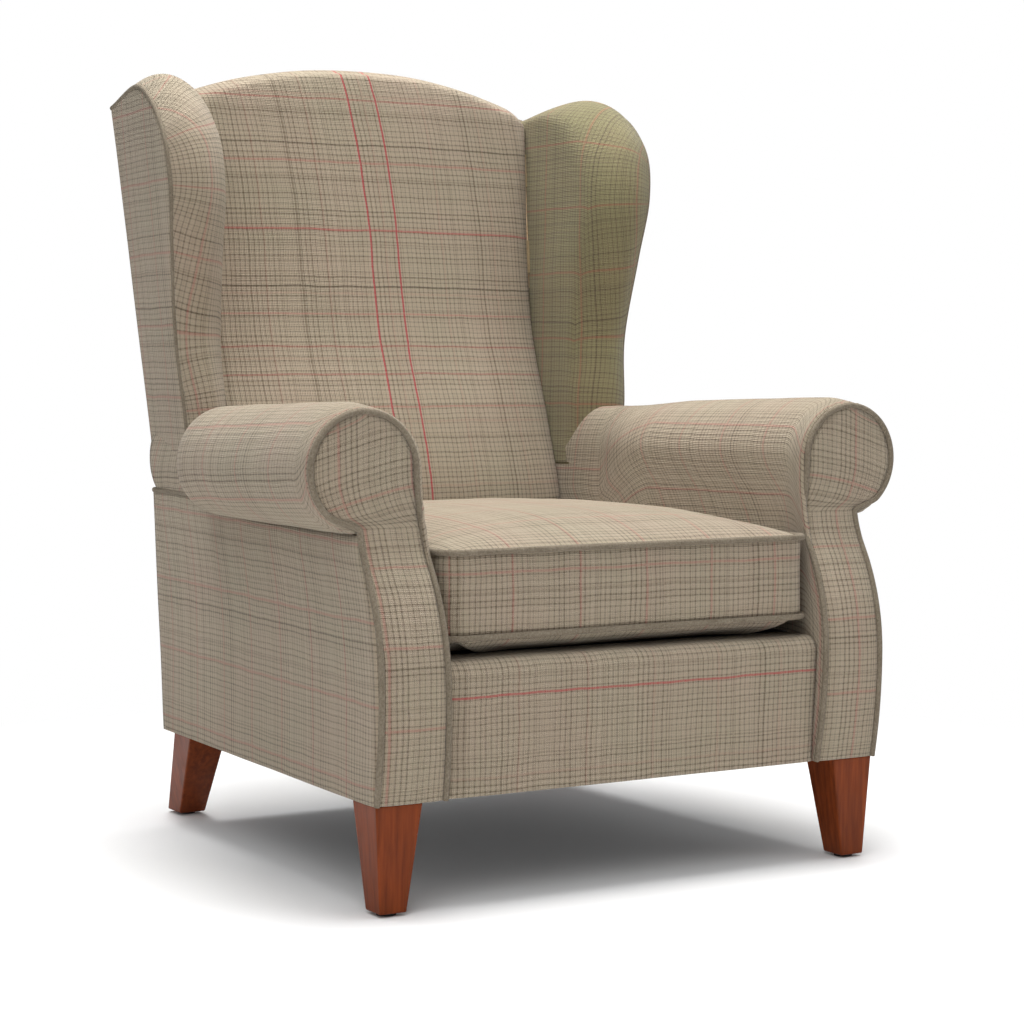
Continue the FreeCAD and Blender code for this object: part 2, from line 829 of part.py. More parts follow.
def seat_hessian():
    half = outer_x(FRONT_Y + POST_DEPTH) - LINING - POST_WIDTH
    top = PAD_BASE_Z - GAP
    front = spring_ends()[0] + CLIP_LENGTH / 2 + GAP
    sheet = box(-half, half, front, FAR, top - HESSIAN, top)
    rear_clips = box(-FAR, FAR, spring_ends()[1] - CLIP_LENGTH / 2 - GAP, FAR, 0, FAR)
    return sheet.common(in_front_of_back_frame()).cut(rear_clips)


def webbing_layer(layer):
    """Front and rear depth of a webbing layer, upright, counted forwards from the back frame."""
    rear = BACK_Y - LINING - BACK_FRAME_DEPTH - layer * (WEBBING + GAP)
    return rear - WEBBING, rear


def upright_straps():
    y0, y1 = webbing_layer(0)
    pitch = 2 * back_post_inner_x() / WEBBING_UPRIGHTS
    straps = []
    for index in range(WEBBING_UPRIGHTS):
        x = (index - (WEBBING_UPRIGHTS - 1) / 2) * pitch
        strap = box(x - WEBBING_WIDTH / 2, x + WEBBING_WIDTH / 2, y0, y1, LUMBAR_RAIL_Z, TALL)
        straps.append(lean_back(strap.common(crest_prism(CREST_PAD + CREST_RAIL_HEIGHT / 2, y0, y1))))
    return straps


def cross_straps():
    y0, y1 = webbing_layer(1)
    half = back_post_inner_x() + BACK_POST_WIDTH / 2
    low = LUMBAR_RAIL_Z + LUMBAR_RAIL_HEIGHT + WEBBING_WIDTH
    high = BACK_POST_TOP - WEBBING_WIDTH
    straps = []
    for index in range(WEBBING_CROSSES):
        z = low + (high - low) * index / (WEBBING_CROSSES - 1)
        straps.append(lean_back(box(-half, half, y0, y1, z - WEBBING_WIDTH / 2, z + WEBBING_WIDTH / 2)))
    return straps


# Inside and outside back

def back_outline(x, inset):
    """Side section of the inside back at x: padded front, crest roll and rear plane."""
    lowness = 1 - (x / back_reach()) ** 2
    top = crest_z(x)
    foot = Vector(x, BACK_TUCK_Y + inset, PAD_BASE_Z - TRIM)
    front = [foot]
    for z, y, crown in BACK_FACE:
        front.append(Vector(x, y - crown * lowness + inset, z))
    shoulder = Vector(x, BACK_TOP_Y - BACK_TOP_CROWN * lowness + inset, top - BACK_TOP_ROLL)
    front.append(shoulder)
    rear_top = Vector(x, rear_y(top - BACK_TOP_ROLL / 2), top - BACK_TOP_ROLL / 2 - inset)
    peak = Vector(x, (shoulder.y + rear_top.y - inset) / 2, top - inset)
    rear_foot = Vector(x, rear_y(foot.z), foot.z)
    curve = Part.BSplineCurve()
    curve.interpolate(front)
    return Part.Wire([
        curve.toShape(),
        arc(shoulder, peak, rear_top),
        line(rear_top, rear_foot),
        line(rear_foot, foot),
    ])


def back_reach():
    return inner_x(CREST_Z) + TRIM


def back_body(inset):
    reach = back_reach()
    sections = [back_outline(share * reach, inset) for share in BACK_SECTIONS]
    return Part.makeLoft(sections, True, False)


def back_space():
    return between_sides(GAP).common(box(-FAR, FAR, -FAR, FAR, PAD_BASE_Z, TALL))


def inside_back_cover():
    shell = back_body(0).cut(back_body(CLOTH)).common(back_space())
    return largest_solid(shell.cut(behind_back(LINING)))


def inside_back_pad():
    """Pad in front of the webbing, and over the crest rail."""
    y0 = webbing_layer(1)[0] - GAP
    cavity = lean_back(crest_prism(CREST_PAD - GAP, y0, y0 + FAR))
    pad = back_body(LINING).common(back_space())
    return largest_solid(cut_by(pad, [cavity, behind_back(LINING)]))


def outside_back_cover():
    side = inner_x(CREST_Z)
    corner_z = WING_REAR_Z
    right = [
        Vector(side, 0, crest_z(side)),
        Vector(wing_x(rear_y(corner_z), corner_z), 0, corner_z),
        Vector(wing_x(rear_y(SEAM_Z), SEAM_Z), 0, SEAM_Z),
        Vector(outer_x(rear_y(SEAM_Z)), 0, SEAM_Z),
        Vector(outer_x(BACK_Y), 0, LEG_HEIGHT),
    ]
    left = [Vector(-point.x, 0, point.z) for point in reversed(right)]
    chain = right + left
    edges = [line(a, b) for a, b in zip(chain, chain[1:])]
    edges.append(arc(chain[-1], Vector(0, 0, CREST_Z), chain[0]))
    outline = Part.Face(Part.Wire(edges)).extrude(Vector(0, FAR, 0))
    return outline.common(behind_back(CLOTH)).cut(behind_back(0))


# Seat layers

def border_outline(inset):
    """Side section of the front border: up the front, over the lip and back onto the deck."""
    lean = math.tan(math.radians(BORDER_LEAN))
    lip_z = DECK_Z - BORDER_LIP_RADIUS
    front = FRONT_Y + inset
    foot = Vector(-FAR, front, RAIL_BOTTOM)
    shoulder = Vector(-FAR, front - lean * (lip_z - RAIL_BOTTOM), lip_z)
    lip = Vector(-FAR, shoulder.y + BORDER_LIP_RADIUS - inset, DECK_Z - inset)
    bend = (BORDER_LIP_RADIUS - inset) * (1 - math.sqrt(0.5))
    middle = Vector(-FAR, shoulder.y + bend, DECK_Z - inset - bend)
    rear_top = Vector(-FAR, FRONT_Y + BORDER_LIP_DEPTH, DECK_Z - inset)
    rear_foot = Vector(-FAR, FRONT_Y + BORDER_LIP_DEPTH, RAIL_BOTTOM)
    return Part.Face(Part.Wire([
        line(foot, shoulder),
        arc(shoulder, middle, lip),
        line(lip, rear_top),
        line(rear_top, rear_foot),
        line(rear_foot, foot),
    ]))


def border_body(inset):
    body = border_outline(inset).extrude(ACROSS * (2 * FAR))
    under = box(-FAR, FAR, FRONT_Y + BORDER_DEPTH - GAP, FAR, 0, PAD_BASE_Z)
    return body.common(between_sides(GAP)).cut(under)


def front_border_cover():
    return largest_solid(border_body(0).cut(border_body(CLOTH)))


def deck_box(low, high):
    front = FRONT_Y + BORDER_LIP_DEPTH + GAP
    rear = BACK_TUCK_Y - BACK_FACE[0][2] - GAP
    return between_sides(GAP).common(box(-FAR, FAR, front, rear, low, high))


def deck_pad():
    return deck_box(PAD_BASE_Z, DECK_Z - LINING)


def deck_cloth():
    return deck_box(DECK_Z - CLOTH, DECK_Z)


def dust_cover(legs):
    inset = LINING
    y1 = BACK_Y - inset - GAP
    y0 = FRONT_Y + BORDER_DEPTH
    points = [
        (-outer_x(y0) + inset, y0),
        (outer_x(y0) - inset, y0),
        (outer_x(y1) - inset, y1),
        (-outer_x(y1) + inset, y1),
    ]
    top = RAIL_BOTTOM - GAP
    return largest_solid(cut_by(plan_prism(points, top - HESSIAN, top), legs))


# Legs

def rectangle(centre, size):
    dx = size[0] / 2
    dy = size[1] / 2
    corners = [Vector(-dx, -dy, 0), Vector(dx, -dy, 0), Vector(dx, dy, 0), Vector(-dx, dy, 0)]
    points = [centre + corner for corner in corners]
    return Part.makePolygon(points + points[:1])


def tapered_leg(top_centre, top_size, foot_centre, foot_size):
    return Part.makeLoft([rectangle(foot_centre, foot_size), rectangle(top_centre, top_size)], True, True)


def front_leg_centres():
    x = outer_x(FRONT_Y) - FRONT_LEG_FROM_SIDE - FRONT_LEG_TOP[0] / 2
    y = FRONT_Y + FRONT_LEG_FROM_FRONT + FRONT_LEG_TOP[1] / 2
    shift_x = (FRONT_LEG_TOP[0] - FRONT_LEG_FOOT[0]) / 2 - FRONT_LEG_TOE
    shift_y = (FRONT_LEG_TOP[1] - FRONT_LEG_FOOT[1]) / 2 - FRONT_LEG_RAKE
    return Vector(x, y, RAIL_BOTTOM), Vector(x + shift_x, y - shift_y, GLIDE_HEIGHT)


def rear_leg_centres():
    y = BACK_Y - REAR_LEG_FROM_BACK
    top = Vector(REAR_LEG_X, y, RAIL_BOTTOM)
    return top, Vector(REAR_LEG_X + REAR_LEG_SPLAY, y + REAR_LEG_RAKE, GLIDE_HEIGHT)


def leg_bolt(top_centre):
    """Upright hanger bolt, short enough in the leg to stay inside a raked one."""
    base = top_centre - Vector(0, 0, BOLT_IN_LEG)
    return rod(BOLT_DIAMETER, BOLT_IN_LEG + BOLT_IN_FRAME, base, UP)


def foot_glide(foot_centre):
    return rod(GLIDE_DIAMETER, GLIDE_HEIGHT, Vector(foot_centre.x, foot_centre.y, 0), UP)


# Seat cushion

def cushion_outline(z, inset):
    """Plan outline at height z: front and sides drawn in between round corners, straight rear."""
    half = CUSHION_HALF_WIDTH - inset
    front = CUSHION_FRONT_Y + inset
    rear = CUSHION_REAR_Y - inset
    corner = CUSHION_CORNER + CUSHION_CORNER_GROWTH * max(inset, 0)
    cut = corner * (1 - math.sqrt(0.5))
    waist = (front + rear) / 2

    def at(x, y):
        return Vector(x, y, z)

    edges = [
        arc(at(-half + corner, front), at(0, front + CUSHION_DRAW), at(half - corner, front)),
        arc(at(half - corner, front), at(half - cut, front + cut), at(half, front + corner)),
        arc(at(half, front + corner), at(half - CUSHION_DRAW, waist), at(half, rear - corner)),
        arc(at(half, rear - corner), at(half - cut, rear - cut), at(half - corner, rear)),
        line(at(half - corner, rear), at(-half + corner, rear)),
        arc(at(-half + corner, rear), at(-half + cut, rear - cut), at(-half, rear - corner)),
        arc(at(-half, rear - corner), at(-half + CUSHION_DRAW, waist), at(-half, front + corner)),
        arc(at(-half, front + corner), at(-half + cut, front + cut), at(-half + corner, front)),
    ]
    return Part.Wire(edges)


def cushion_box_z():
    low = DECK_Z + CUSHION_BOX_LIFT
    return low, low + CUSHION_BOX_HEIGHT


def cushion_band(inset, low, high):
    return Part.makeLoft([cushion_outline(low, inset), cushion_outline(high, inset)], True, True)


def cushion_crown(base, height, inset):
    """Crown over (height > 0) or under (height < 0) the boxing, drawn in step by step."""
    way = math.copysign(1, height)
    tall = abs(height) - inset
    sections = [cushion_outline(base + way * share * tall, pull + inset) for share, pull in CROWN_STEPS]
    return Part.makeLoft(sections, True, False)


def cushion_top(inset):
    return cushion_crown(cushion_box_z()[1], CUSHION_TOP_CROWN, inset)


def cushion_bottom(inset):
    return cushion_crown(cushion_box_z()[0], GAP - CUSHION_BOX_LIFT, inset)


def cushion_core():
    low, high = cushion_box_z()
    band = cushion_band(LINING, low, high)
    return band.fuse([cushion_top(LINING), cushion_bottom(LINING)]).removeSplitter()


def cushion_panel(crown):
    low, high = cushion_box_z()
    shell = crown(0).cut(crown(CLOTH))
    return largest_solid(shell.cut(box(-FAR, FAR, -FAR, FAR, low - cord_half(), high + cord_half())))


def cord_half():
    return PIPING / 2 + GAP


def cushion_boxing():
    low, high = cushion_box_z()
    low += cord_half()
    high -= cord_half()
    return cushion_band(0, low, high).cut(cushion_band(CLOTH, low, high))


def cushion_piping(z):
    low = z - PIPING / 2
    high = z + PIPING / 2
    return cushion_band(-CUSHION_PIPING_OUT, low, high).cut(cushion_band(CLOTH, low, high))


def zip_z():
    low, high = cushion_box_z()
    return (low + high) / 2


def zip_chain_box(clearance):
    half = ZIP_LENGTH / 2
    high = ZIP_CHAIN_HEIGHT / 2 + clearance
    rear = CUSHION_REAR_Y + ZIP_TAPE
    return box(-half, half, rear, rear + ZIP_CHAIN + clearance, zip_z() - high, zip_z() + high)


def zip_tape():
    half = ZIP_LENGTH / 2 + ZIP_CHAIN_HEIGHT
    high = ZIP_TAPE_HEIGHT / 2
    tape = box(-half, half, CUSHION_REAR_Y, CUSHION_REAR_Y + ZIP_TAPE, zip_z() - high, zip_z() + high)
    return tape.fuse(zip_chain_box(0)).removeSplitter()


def zip_slider():
    """Slider body astride the chain, with its pull tab hanging behind."""
    x0 = -ZIP_LENGTH / 2 + SLIDER_LENGTH
    high = SLIDER_HEIGHT / 2
    near = CUSHION_REAR_Y + ZIP_TAPE
    body = box(x0, x0 + SLIDER_LENGTH, near + GAP, near + SLIDER_DEPTH, zip_z() - high, zip_z() + high)
    body = body.cut(zip_chain_box(GAP))
    width, thickness, length = SLIDER_PULL
    pull_x = x0 + (SLIDER_LENGTH - width) / 2
    pull_top = zip_z() + high / 2
    far = near + SLIDER_DEPTH
    pull = box(pull_x, pull_x + width, far, far + thickness, pull_top - length, pull_top)
    return body.fuse(pull).removeSplitter()


# Assembly

def pair(name, shape):
    return {name + "_right": shape, name + "_left": mirrored(shape)}


def both(shapes):
    """One group of separate solids on both sides."""
    return Part.makeCompound(shapes + [mirrored(shape) for shape in shapes])


def frame_parts():
    rear_y0 = BACK_Y - LINING - BACK_FRAME_DEPTH
    front_y0 = front_inside_y()
    neighbours = [side_rail(), back_post(), rear_rail(), arm_post(), front_rail()]
    blocks = [corner_block(front_y0, 1, neighbours), corner_block(rear_y0, -1, neighbours)]
    screws = block_screws(front_y0, 1) + block_screws(rear_y0, -1)
    front_top, front_foot = front_leg_centres()
    rear_top, rear_foot = rear_leg_centres()
    bolts = [leg_bolt(front_top), leg_bolt(rear_top)]
    fixings = screws + bolts
    all_fixings = fixings + [mirrored(fixing) for fixing in fixings]
    front_leg = tapered_leg(front_top, FRONT_LEG_TOP, front_foot, FRONT_LEG_FOOT)
    rear_leg = tapered_leg(rear_top, REAR_LEG_TOP, rear_foot, REAR_LEG_FOOT)
    parts = {
        "front_rail": cut_by(front_rail(), all_fixings),
        "rear_rail": cut_by(rear_rail(), all_fixings),
        "crest_rail": crest_rail(),
        "lumbar_rail": lumbar_rail(),
        "corner_blocks": both([cut_by(block, fixings) for block in blocks]),
        "corner_block_screws": both(screws),
        "leg_bolts": both(bolts),
        "foot_glides": both([foot_glide(front_foot), foot_glide(rear_foot)]),
        "scroll_boards": both([scroll_board()]),
        "arm_tack_rails": both([tack_rail()]),
    }
    parts.update(pair("leg_front", cut_by(front_leg, bolts)))
    parts.update(pair("leg_rear", cut_by(rear_leg, bolts)))
    parts.update(pair("side_rail", cut_by(side_rail(), fixings)))
    parts.update(pair("arm_post", cut_by(arm_post(), fixings)))
    parts.update(pair("back_post", cut_by(back_post(), fixings)))
    parts.update(pair("arm_rail", cut_by(arm_rail(), cross_straps())))
    return parts


def spring_parts():
    springs = [zigzag_spring(x) for x in spring_places()]
    clips = [spring_clip(x, y) for x in spring_places() for y in spring_ends()]
    return {
        "seat_springs": Part.makeCompound(springs),
        "spring_clips": Part.makeCompound(clips),
        "spring_tie_wires": Part.makeCompound(tie_wires()),
        "seat_hessian": seat_hessian(),
        "back_webbing": Part.makeCompound(upright_straps() + cross_straps()),
    }


def upholstery_parts(frame):
    arm_space = arm_clearance()
    post = frame["back_post_right"]
    rail = frame["arm_rail_right"]
    frame_board = wing_frame(arm_space, [post, rail])
    arm_wood = [frame["arm_post_right"], rail, tack_rail()]
    legs = [frame[name] for name in ("leg_front_right", "leg_front_left", "leg_rear_right", "leg_rear_left")]
    parts = {
        "front_border_pad": border_body(LINING),
        "front_border_cover": front_border_cover(),
        "deck_pad": deck_pad(),
        "deck_cloth": deck_cloth(),
        "inside_back_pad": inside_back_pad(),
        "inside_back_cover": inside_back_cover(),
        "outside_back_cover": outside_back_cover(),
        "dust_cover": dust_cover(legs),
        "arm_facing_piping": both([facing_piping()]),
        "wing_piping": both([wing_piping(arm_space)]),
    }
    parts.update(pair("arm_pad", arm_pad(arm_wood)))
    parts.update(pair("arm_facing_cover", arm_facing_cover()))
    parts.update(pair("inside_arm_cover", inside_arm_cover()))
    parts.update(pair("outside_arm_cover", outside_arm_cover()))
    parts.update(pair("wing_frame", frame_board))
    parts.update(pair("wing_pad", wing_pad(arm_space, [frame_board, rail, frame["crest_rail"]])))
    parts.update(pair("inside_wing_cover", inside_wing_cover(arm_space)))
    parts.update(pair("outside_wing_cover", outside_wing_cover(arm_space)))
    return parts


def cushion_parts():
    return {
        "cushion_core": cushion_core(),
        "cushion_top_panel": cushion_panel(cushion_top),
        "cushion_bottom_panel": cushion_panel(cushion_bottom),
        "cushion_boxing": cushion_boxing(),
        "cushion_piping": Part.makeCompound([cushion_piping(z) for z in cushion_box_z()]),
        "cushion_zip": zip_tape(),
        "zip_slider": zip_slider(),
    }


def main():
    parts = frame_parts()
    parts.update(spring_parts())
    parts.update(upholstery_parts(parts))
    parts.update(cushion_parts())
    bounds = FreeCAD.BoundBox()
    for shape in parts.values():
        bounds.add(shape.optimalBoundingBox(False, False))
    to_middle = Vector(0, -(bounds.YMin + bounds.YMax) / 2, 0)
    os.makedirs("parts", exist_ok=True)
    for name, shape in parts.items():
        shape.translate(to_middle)
        shape.exportStep(os.path.join("parts", name + ".step"))
        volumes = " ".join("%.0f" % solid.Volume for solid in shape.Solids[:6])
        print("%-24s solids %d valid %s volumes %s" % (name, len(shape.Solids), shape.isValid(), volumes))
    print("moved to the middle by %.3f, size %.1f x %.1f x %.1f" % (
        to_middle.y, bounds.XLength, bounds.YLength, bounds.ZLength))


main()
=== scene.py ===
"""Dresses the wing armchair: tweed covers, piping, loose seat cushion, wooden legs and a small studio.

Lengths are metres. The chair faces -Y and stands on z = 0; right-hand pieces are made first and mirrored.
"""

import json
import math

import bmesh
import bpy
from bpy.props import FloatProperty, FloatVectorProperty, PointerProperty
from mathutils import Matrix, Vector
from mathutils.geometry import interpolate_bezier
from mathutils.noise import noise


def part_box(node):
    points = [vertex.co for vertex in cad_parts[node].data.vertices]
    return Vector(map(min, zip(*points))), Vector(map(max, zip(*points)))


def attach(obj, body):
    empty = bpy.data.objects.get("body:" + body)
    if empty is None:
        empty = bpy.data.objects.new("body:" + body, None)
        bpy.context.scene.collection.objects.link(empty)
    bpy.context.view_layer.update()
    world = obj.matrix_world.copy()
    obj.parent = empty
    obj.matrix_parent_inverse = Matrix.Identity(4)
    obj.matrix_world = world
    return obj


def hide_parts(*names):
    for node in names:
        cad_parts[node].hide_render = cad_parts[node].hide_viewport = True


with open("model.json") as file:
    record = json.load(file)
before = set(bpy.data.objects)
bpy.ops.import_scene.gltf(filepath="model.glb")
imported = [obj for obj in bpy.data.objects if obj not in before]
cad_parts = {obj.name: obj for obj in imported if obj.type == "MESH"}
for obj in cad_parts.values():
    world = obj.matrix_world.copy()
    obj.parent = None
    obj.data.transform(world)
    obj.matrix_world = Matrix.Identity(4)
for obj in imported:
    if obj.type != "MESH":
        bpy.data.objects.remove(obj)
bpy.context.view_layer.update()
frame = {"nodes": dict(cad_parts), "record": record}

bl_info = {
    "name": "Wing armchair",
    "version": (1, 0, 0),
    "blender": (4, 5, 0),
    "location": "View3D > Sidebar > Armchair",
    "description": "Builds the covers, cushion, piping, legs and studio of a wing armchair",
    "category": "Add Mesh",
}

CHAIR = "chair"
CUSHION = "seat_cushion"
WEAVE = "weave"
FINISH = "finish_"
SIDES = (("right", 1), ("left", -1))
FORWARD = Vector((0, -1, 0))

# Reference places of the frame that the covers are pulled over
LEG_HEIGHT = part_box("side_rail_right")[0].z
FRONT_Y = -0.3901
BACK_Y = 0.3099
BACK_LEAN = math.radians(5.9)
CREST_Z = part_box("outside_back_cover")[1].z
CREST_RADIUS = 0.853
ARM_FRONT_HALF_WIDTH = 0.3745
ARM_REAR_HALF_WIDTH = 0.342
INNER_BASE_X = 0.273
INNER_SLOPE = 0.023
SCROLL_REACH = 0.4375
SCROLL_Z = 0.527
SCROLL_FALL = 0.010
SCROLL_RADIUS = 0.0775
SCROLL_TAPER = 0.020
SCROLL_CROWN = 0.006
SCROLL_END_Y = 0.0169
SCROLL_END_RUN = 0.115
SCROLL_END_ROUND = 1.6
SCROLL_FACE_Y = FRONT_Y + 0.043
FACING_BELLY = 0.014
FACING_BELLY_Z = 0.275
FACING_BELLY_RADIUS = 0.262
FACING_SWEEP = math.radians(31)
FACING_ROUND = 0.0052
FACING_COVER_INSET = FACING_ROUND + 0.0015
FACING_FLATTENING = 0.0012
FACING_BLEND_Z = 0.43
FACING_COLUMNS = 16
FACING_SCROLL_STEPS = 32
BORDER_LEAN = math.radians(2.2)
DECK_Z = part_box("deck_cloth")[1].z
PAD_BASE_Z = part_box("deck_pad")[0].z
SEAM_Z = 0.473
ARM_END_Y = 0.1989
WING_FLARE = 0.0865
WING_TOE_IN = 0.09

# Wing: foot, front edge and top edge in side view (y, z)
WING_EDGE = (
    (0.1889, 0.500),
    (0.1889, 0.590),
    (0.1999, 0.690),
    (0.1809, 0.807),
    (0.1649, 0.900),
    (0.1859, 0.977),
    (0.2659, 1.033),
    (0.4009, 1.016),
)
WING_ROLL_FRONT = (0.0, 0.018, 0.020, 0.004, -0.022)
WING_ROLL_TOP = (0.0, 0.016, 0.020, 0.016, 0.008)

# Inside back: tuck, then (z, y at the sides, crown in the middle) up to the crest roll
BACK_TUCK_Y = 0.2239
BACK_FACE = (
    (0.330, 0.2259, 0.008),
    (0.447, 0.2319, 0.020),
    (0.565, 0.2719, 0.028),
    (0.700, 0.3219, 0.028),
    (0.850, 0.3449, 0.024),
)
BACK_TOP_Y = 0.3569
BACK_TOP_CROWN = 0.014
BACK_TOP_ROLL = 0.030
BACK_EDGE_ROLL = 0.015
BACK_EDGE_RUN = 0.040
BACK_SKEW = 0.456
BACK_SKEW_Z = 0.80

# Bold lines of the check: way on the cloth (0 across, 1 along), place and strength
BACK_REDS = (
    (0, -0.001, 0.85),
    (0, 0.0445, 0.85),
    (1, 0.341, 0.30),
    (1, 0.392, 0.30),
    (1, 0.435, 0.30),
    (1, 0.484, 0.30),
    (1, 0.609, 0.55),
    (1, 0.709, 0.30),
    (1, 0.802, 0.30),
)
BACK_DARKS = ((0, -0.116, 0.5), (1, 0.525, 0.5))
BORDER_REDS = ((1, 0.123, 0.7),)
DARK_LINE = 0.0022
BOLD_DARK_LINE = 0.0028
RED_LINE = 0.0030
BOLD_RED_LINE = 0.0027

# Spacings, clearances and rough lengths that set how finely each piece is cut
FINE = 0.007
TINY = 1e-9
EDGE_GAP = 0.0006
REAR_GAP = 0.0012
FACING_GAP = 0.0004
WING_PIPING_INSET = 0.0022
FRONT_DENSITY = 1.6
LINING = 0.0006
BORDER_LIP = 0.020
BORDER_RETURN = 0.062
ARM_LENGTH = 0.70
ARM_GIRTH = 0.63
ARM_TAIL_Y = 0.3314
OUTSIDE_ARM_HEIGHT = 0.32
WING_EDGE_LENGTH = 0.85
WING_THICKNESS = 0.13
WING_INSIDE_DEPTH = 0.16
WING_OUTSIDE_DEPTH = 0.20
OUTSIDE_BACK_HEIGHT = 0.95
OUTSIDE_BACK_WIDTH = 0.72
SEAT_WIDTH = 0.55
BORDER_GIRTH = 0.23
WING_CORNER_Z = 1.016


# Sizes and colours that a user would change

class ChairSizes(bpy.types.PropertyGroup):
    """Sizes of the soft work."""

    cloth: FloatProperty(
        name="Cloth", description="Thickness of the tweed", default=0.0015, unit="LENGTH")
    piping: FloatProperty(
        name="Piping", description="Diameter of the piping", default=0.0078, unit="LENGTH")
    panel_puff: FloatProperty(
        name="Panel puff", description="How far outside panels swell", default=0.0028, unit="LENGTH")
    facing_puff: FloatProperty(
        name="Facing puff", description="How far the arm facings swell", default=0.0035, unit="LENGTH")
    cushion_crown: FloatProperty(
        name="Cushion crown", description="Rise of the cushion top", default=0.036, unit="LENGTH")
    cushion_sag: FloatProperty(
        name="Cushion underside", description="Drop of the cushion underside", default=0.0235, unit="LENGTH")
    pucker: FloatProperty(
        name="Pucker", description="Depth of the small puckers at seams", default=0.0009, unit="LENGTH")


class ChairColours(bpy.types.PropertyGroup):
    """Colours and pitches of the finishes."""

    thread: FloatProperty(
        name="Thread", description="Pitch of the yarns", default=0.0025, unit="LENGTH")
    line: FloatProperty(
        name="Dark check", description="Pitch of the large dark check", default=0.049, unit="LENGTH")
    red_line: FloatProperty(
        name="Red check", description="Pitch of the red overcheck", default=0.098, unit="LENGTH")
    light_yarn: FloatVectorProperty(
        name="Light yarn", description="Ground colour", subtype="COLOR", default=(0.385, 0.326, 0.246))
    dark_yarn: FloatVectorProperty(
        name="Dark yarn", description="Small check", subtype="COLOR", default=(0.115, 0.09, 0.06))
    # Ground of the right inside wing only: the tweed's ground drawn darker and greener, painted shade with a
    # green cast. The cloth is the same as on the left wing.
    wing_shade_yarn: FloatVectorProperty(
        name="Wing shade yarn", description="Ground of a wing", subtype="COLOR", default=(0.245, 0.222, 0.122))
    red_yarn: FloatVectorProperty(
        name="Red yarn", description="Colour of the overcheck", subtype="COLOR", default=(0.40, 0.030, 0.045))
    wood: FloatVectorProperty(
        name="Leg wood", description="Stain of the legs", subtype="COLOR", default=(0.175, 0.034, 0.006))


# Curves and reference surfaces

def lerp(a, b, share):
    return a + (b - a) * share


def clamp(value, low=0.0, high=1.0):
    return max(low, min(high, value))


def smooth_share(low, high, value):
    share = clamp((value - low) / (high - low))
    return share * share * (3 - 2 * share)


def curve_through(points, steps=12):
    """Points on a smooth line through the given ones, with some steps to each stretch."""
    ends = [points[0] * 2 - points[1]] + list(points) + [points[-1] * 2 - points[-2]]
    found = []
    for before, start, stop, after in zip(ends, ends[1:], ends[2:], ends[3:]):
        leave = start + (stop - before) / 6
        arrive = stop - (after - start) / 6
        found += interpolate_bezier(start, leave, arrive, stop, steps)[:-1]
    return found + [points[-1]]


def evenly(points, count):
    """The same line with its points spread evenly."""
    lengths = [0.0]
    for a, b in zip(points, points[1:]):
        lengths.append(lengths[-1] + (b - a).length)
    found = []
    index = 0
    for step in range(count):
        target = lengths[-1] * step / (count - 1)
        while index < len(points) - 2 and lengths[index + 1] < target:
            index += 1
        span = lengths[index + 1] - lengths[index]
        found.append(points[index].lerp(points[index + 1], (target - lengths[index]) / max(span, TINY)))
    return found


def steps_for(length):
    return max(3, round(length / FINE))


def outer_x(y):
    share = (y - FRONT_Y) / (BACK_Y - FRONT_Y)
    return lerp(ARM_FRONT_HALF_WIDTH, ARM_REAR_HALF_WIDTH, share)


def inner_x(z):
    return INNER_BASE_X + INNER_SLOPE * (z - LEG_HEIGHT)


def wing_x(y, z):
    return outer_x(ARM_END_Y) - WING_TOE_IN * (y - ARM_END_Y) + WING_FLARE * (z - SEAM_Z)


def rear_y(z):
    return BACK_Y + math.tan(BACK_LEAN) * (z - LEG_HEIGHT)


def scroll_z(y):
    return SCROLL_Z - SCROLL_FALL * (y - FRONT_Y)


def scroll_radius(y):
    return SCROLL_RADIUS - SCROLL_TAPER * (y - FRONT_Y)


def crest_z(x):
    return CREST_Z - CREST_RADIUS + math.sqrt(CREST_RADIUS ** 2 - x ** 2)


def facing_y(z):
    """The arm's front line in side view: a bellied foot, a backward sweep and an upright scroll face."""
    widest_y = FRONT_Y - FACING_BELLY
    foot = FACING_BELLY_Z - LEG_HEIGHT
    foot_radius = (foot ** 2 + FACING_BELLY ** 2) / (2 * FACING_BELLY)
    neck_radius = (SCROLL_FACE_Y - widest_y) / (1 - math.cos(FACING_SWEEP)) - FACING_BELLY_RADIUS
    sweep_z = FACING_BELLY_Z + FACING_BELLY_RADIUS * math.sin(FACING_SWEEP)
    neck_z = sweep_z + neck_radius * math.sin(FACING_SWEEP)
    rise = z - FACING_BELLY_Z
    if z < FACING_BELLY_Z:
        return widest_y + foot_radius - math.sqrt(foot_radius ** 2 - rise ** 2)
    if z < sweep_z:
        return widest_y + FACING_BELLY_RADIUS - math.sqrt(FACING_BELLY_RADIUS ** 2 - rise ** 2)
    if z < neck_z:
        return SCROLL_FACE_Y - neck_radius + math.sqrt(neck_radius ** 2 - (neck_z - z) ** 2)
    return SCROLL_FACE_Y


# Making pieces

def transposed(rows):
    return [list(column) for column in zip(*rows)]


def grid_rows(up, across, place):
    """Rows of points, each from its shares 0 to 1 of the way up and across."""
    return [[place(step / up, index / across) for index in range(across + 1)] for step in range(up + 1)]


def on_side(rows, way):
    """The rows as made for the right side, or mirrored for the left."""
    if way > 0:
        return rows
    return [[Vector((-point.x, point.y, point.z)) for point in row] for row in rows]


def cloth_lengths(rows):
    """For each point, its distance along the cloth across and along the rows, in metres."""
    middle = len(rows[0]) // 2
    found = []
    along = [0.0] * len(rows[0])
    for number, row in enumerate(rows):
        across = [0.0] * len(row)
        for index in range(middle + 1, len(row)):
            across[index] = across[index - 1] + (row[index] - row[index - 1]).length
        for index in range(middle - 1, -1, -1):
            across[index] = across[index + 1] - (row[index] - row[index + 1]).length
        if number:
            along = [done + (a - b).length for done, a, b in zip(along, row, rows[number - 1])]
        found.append(list(zip(across, along)))
    return found


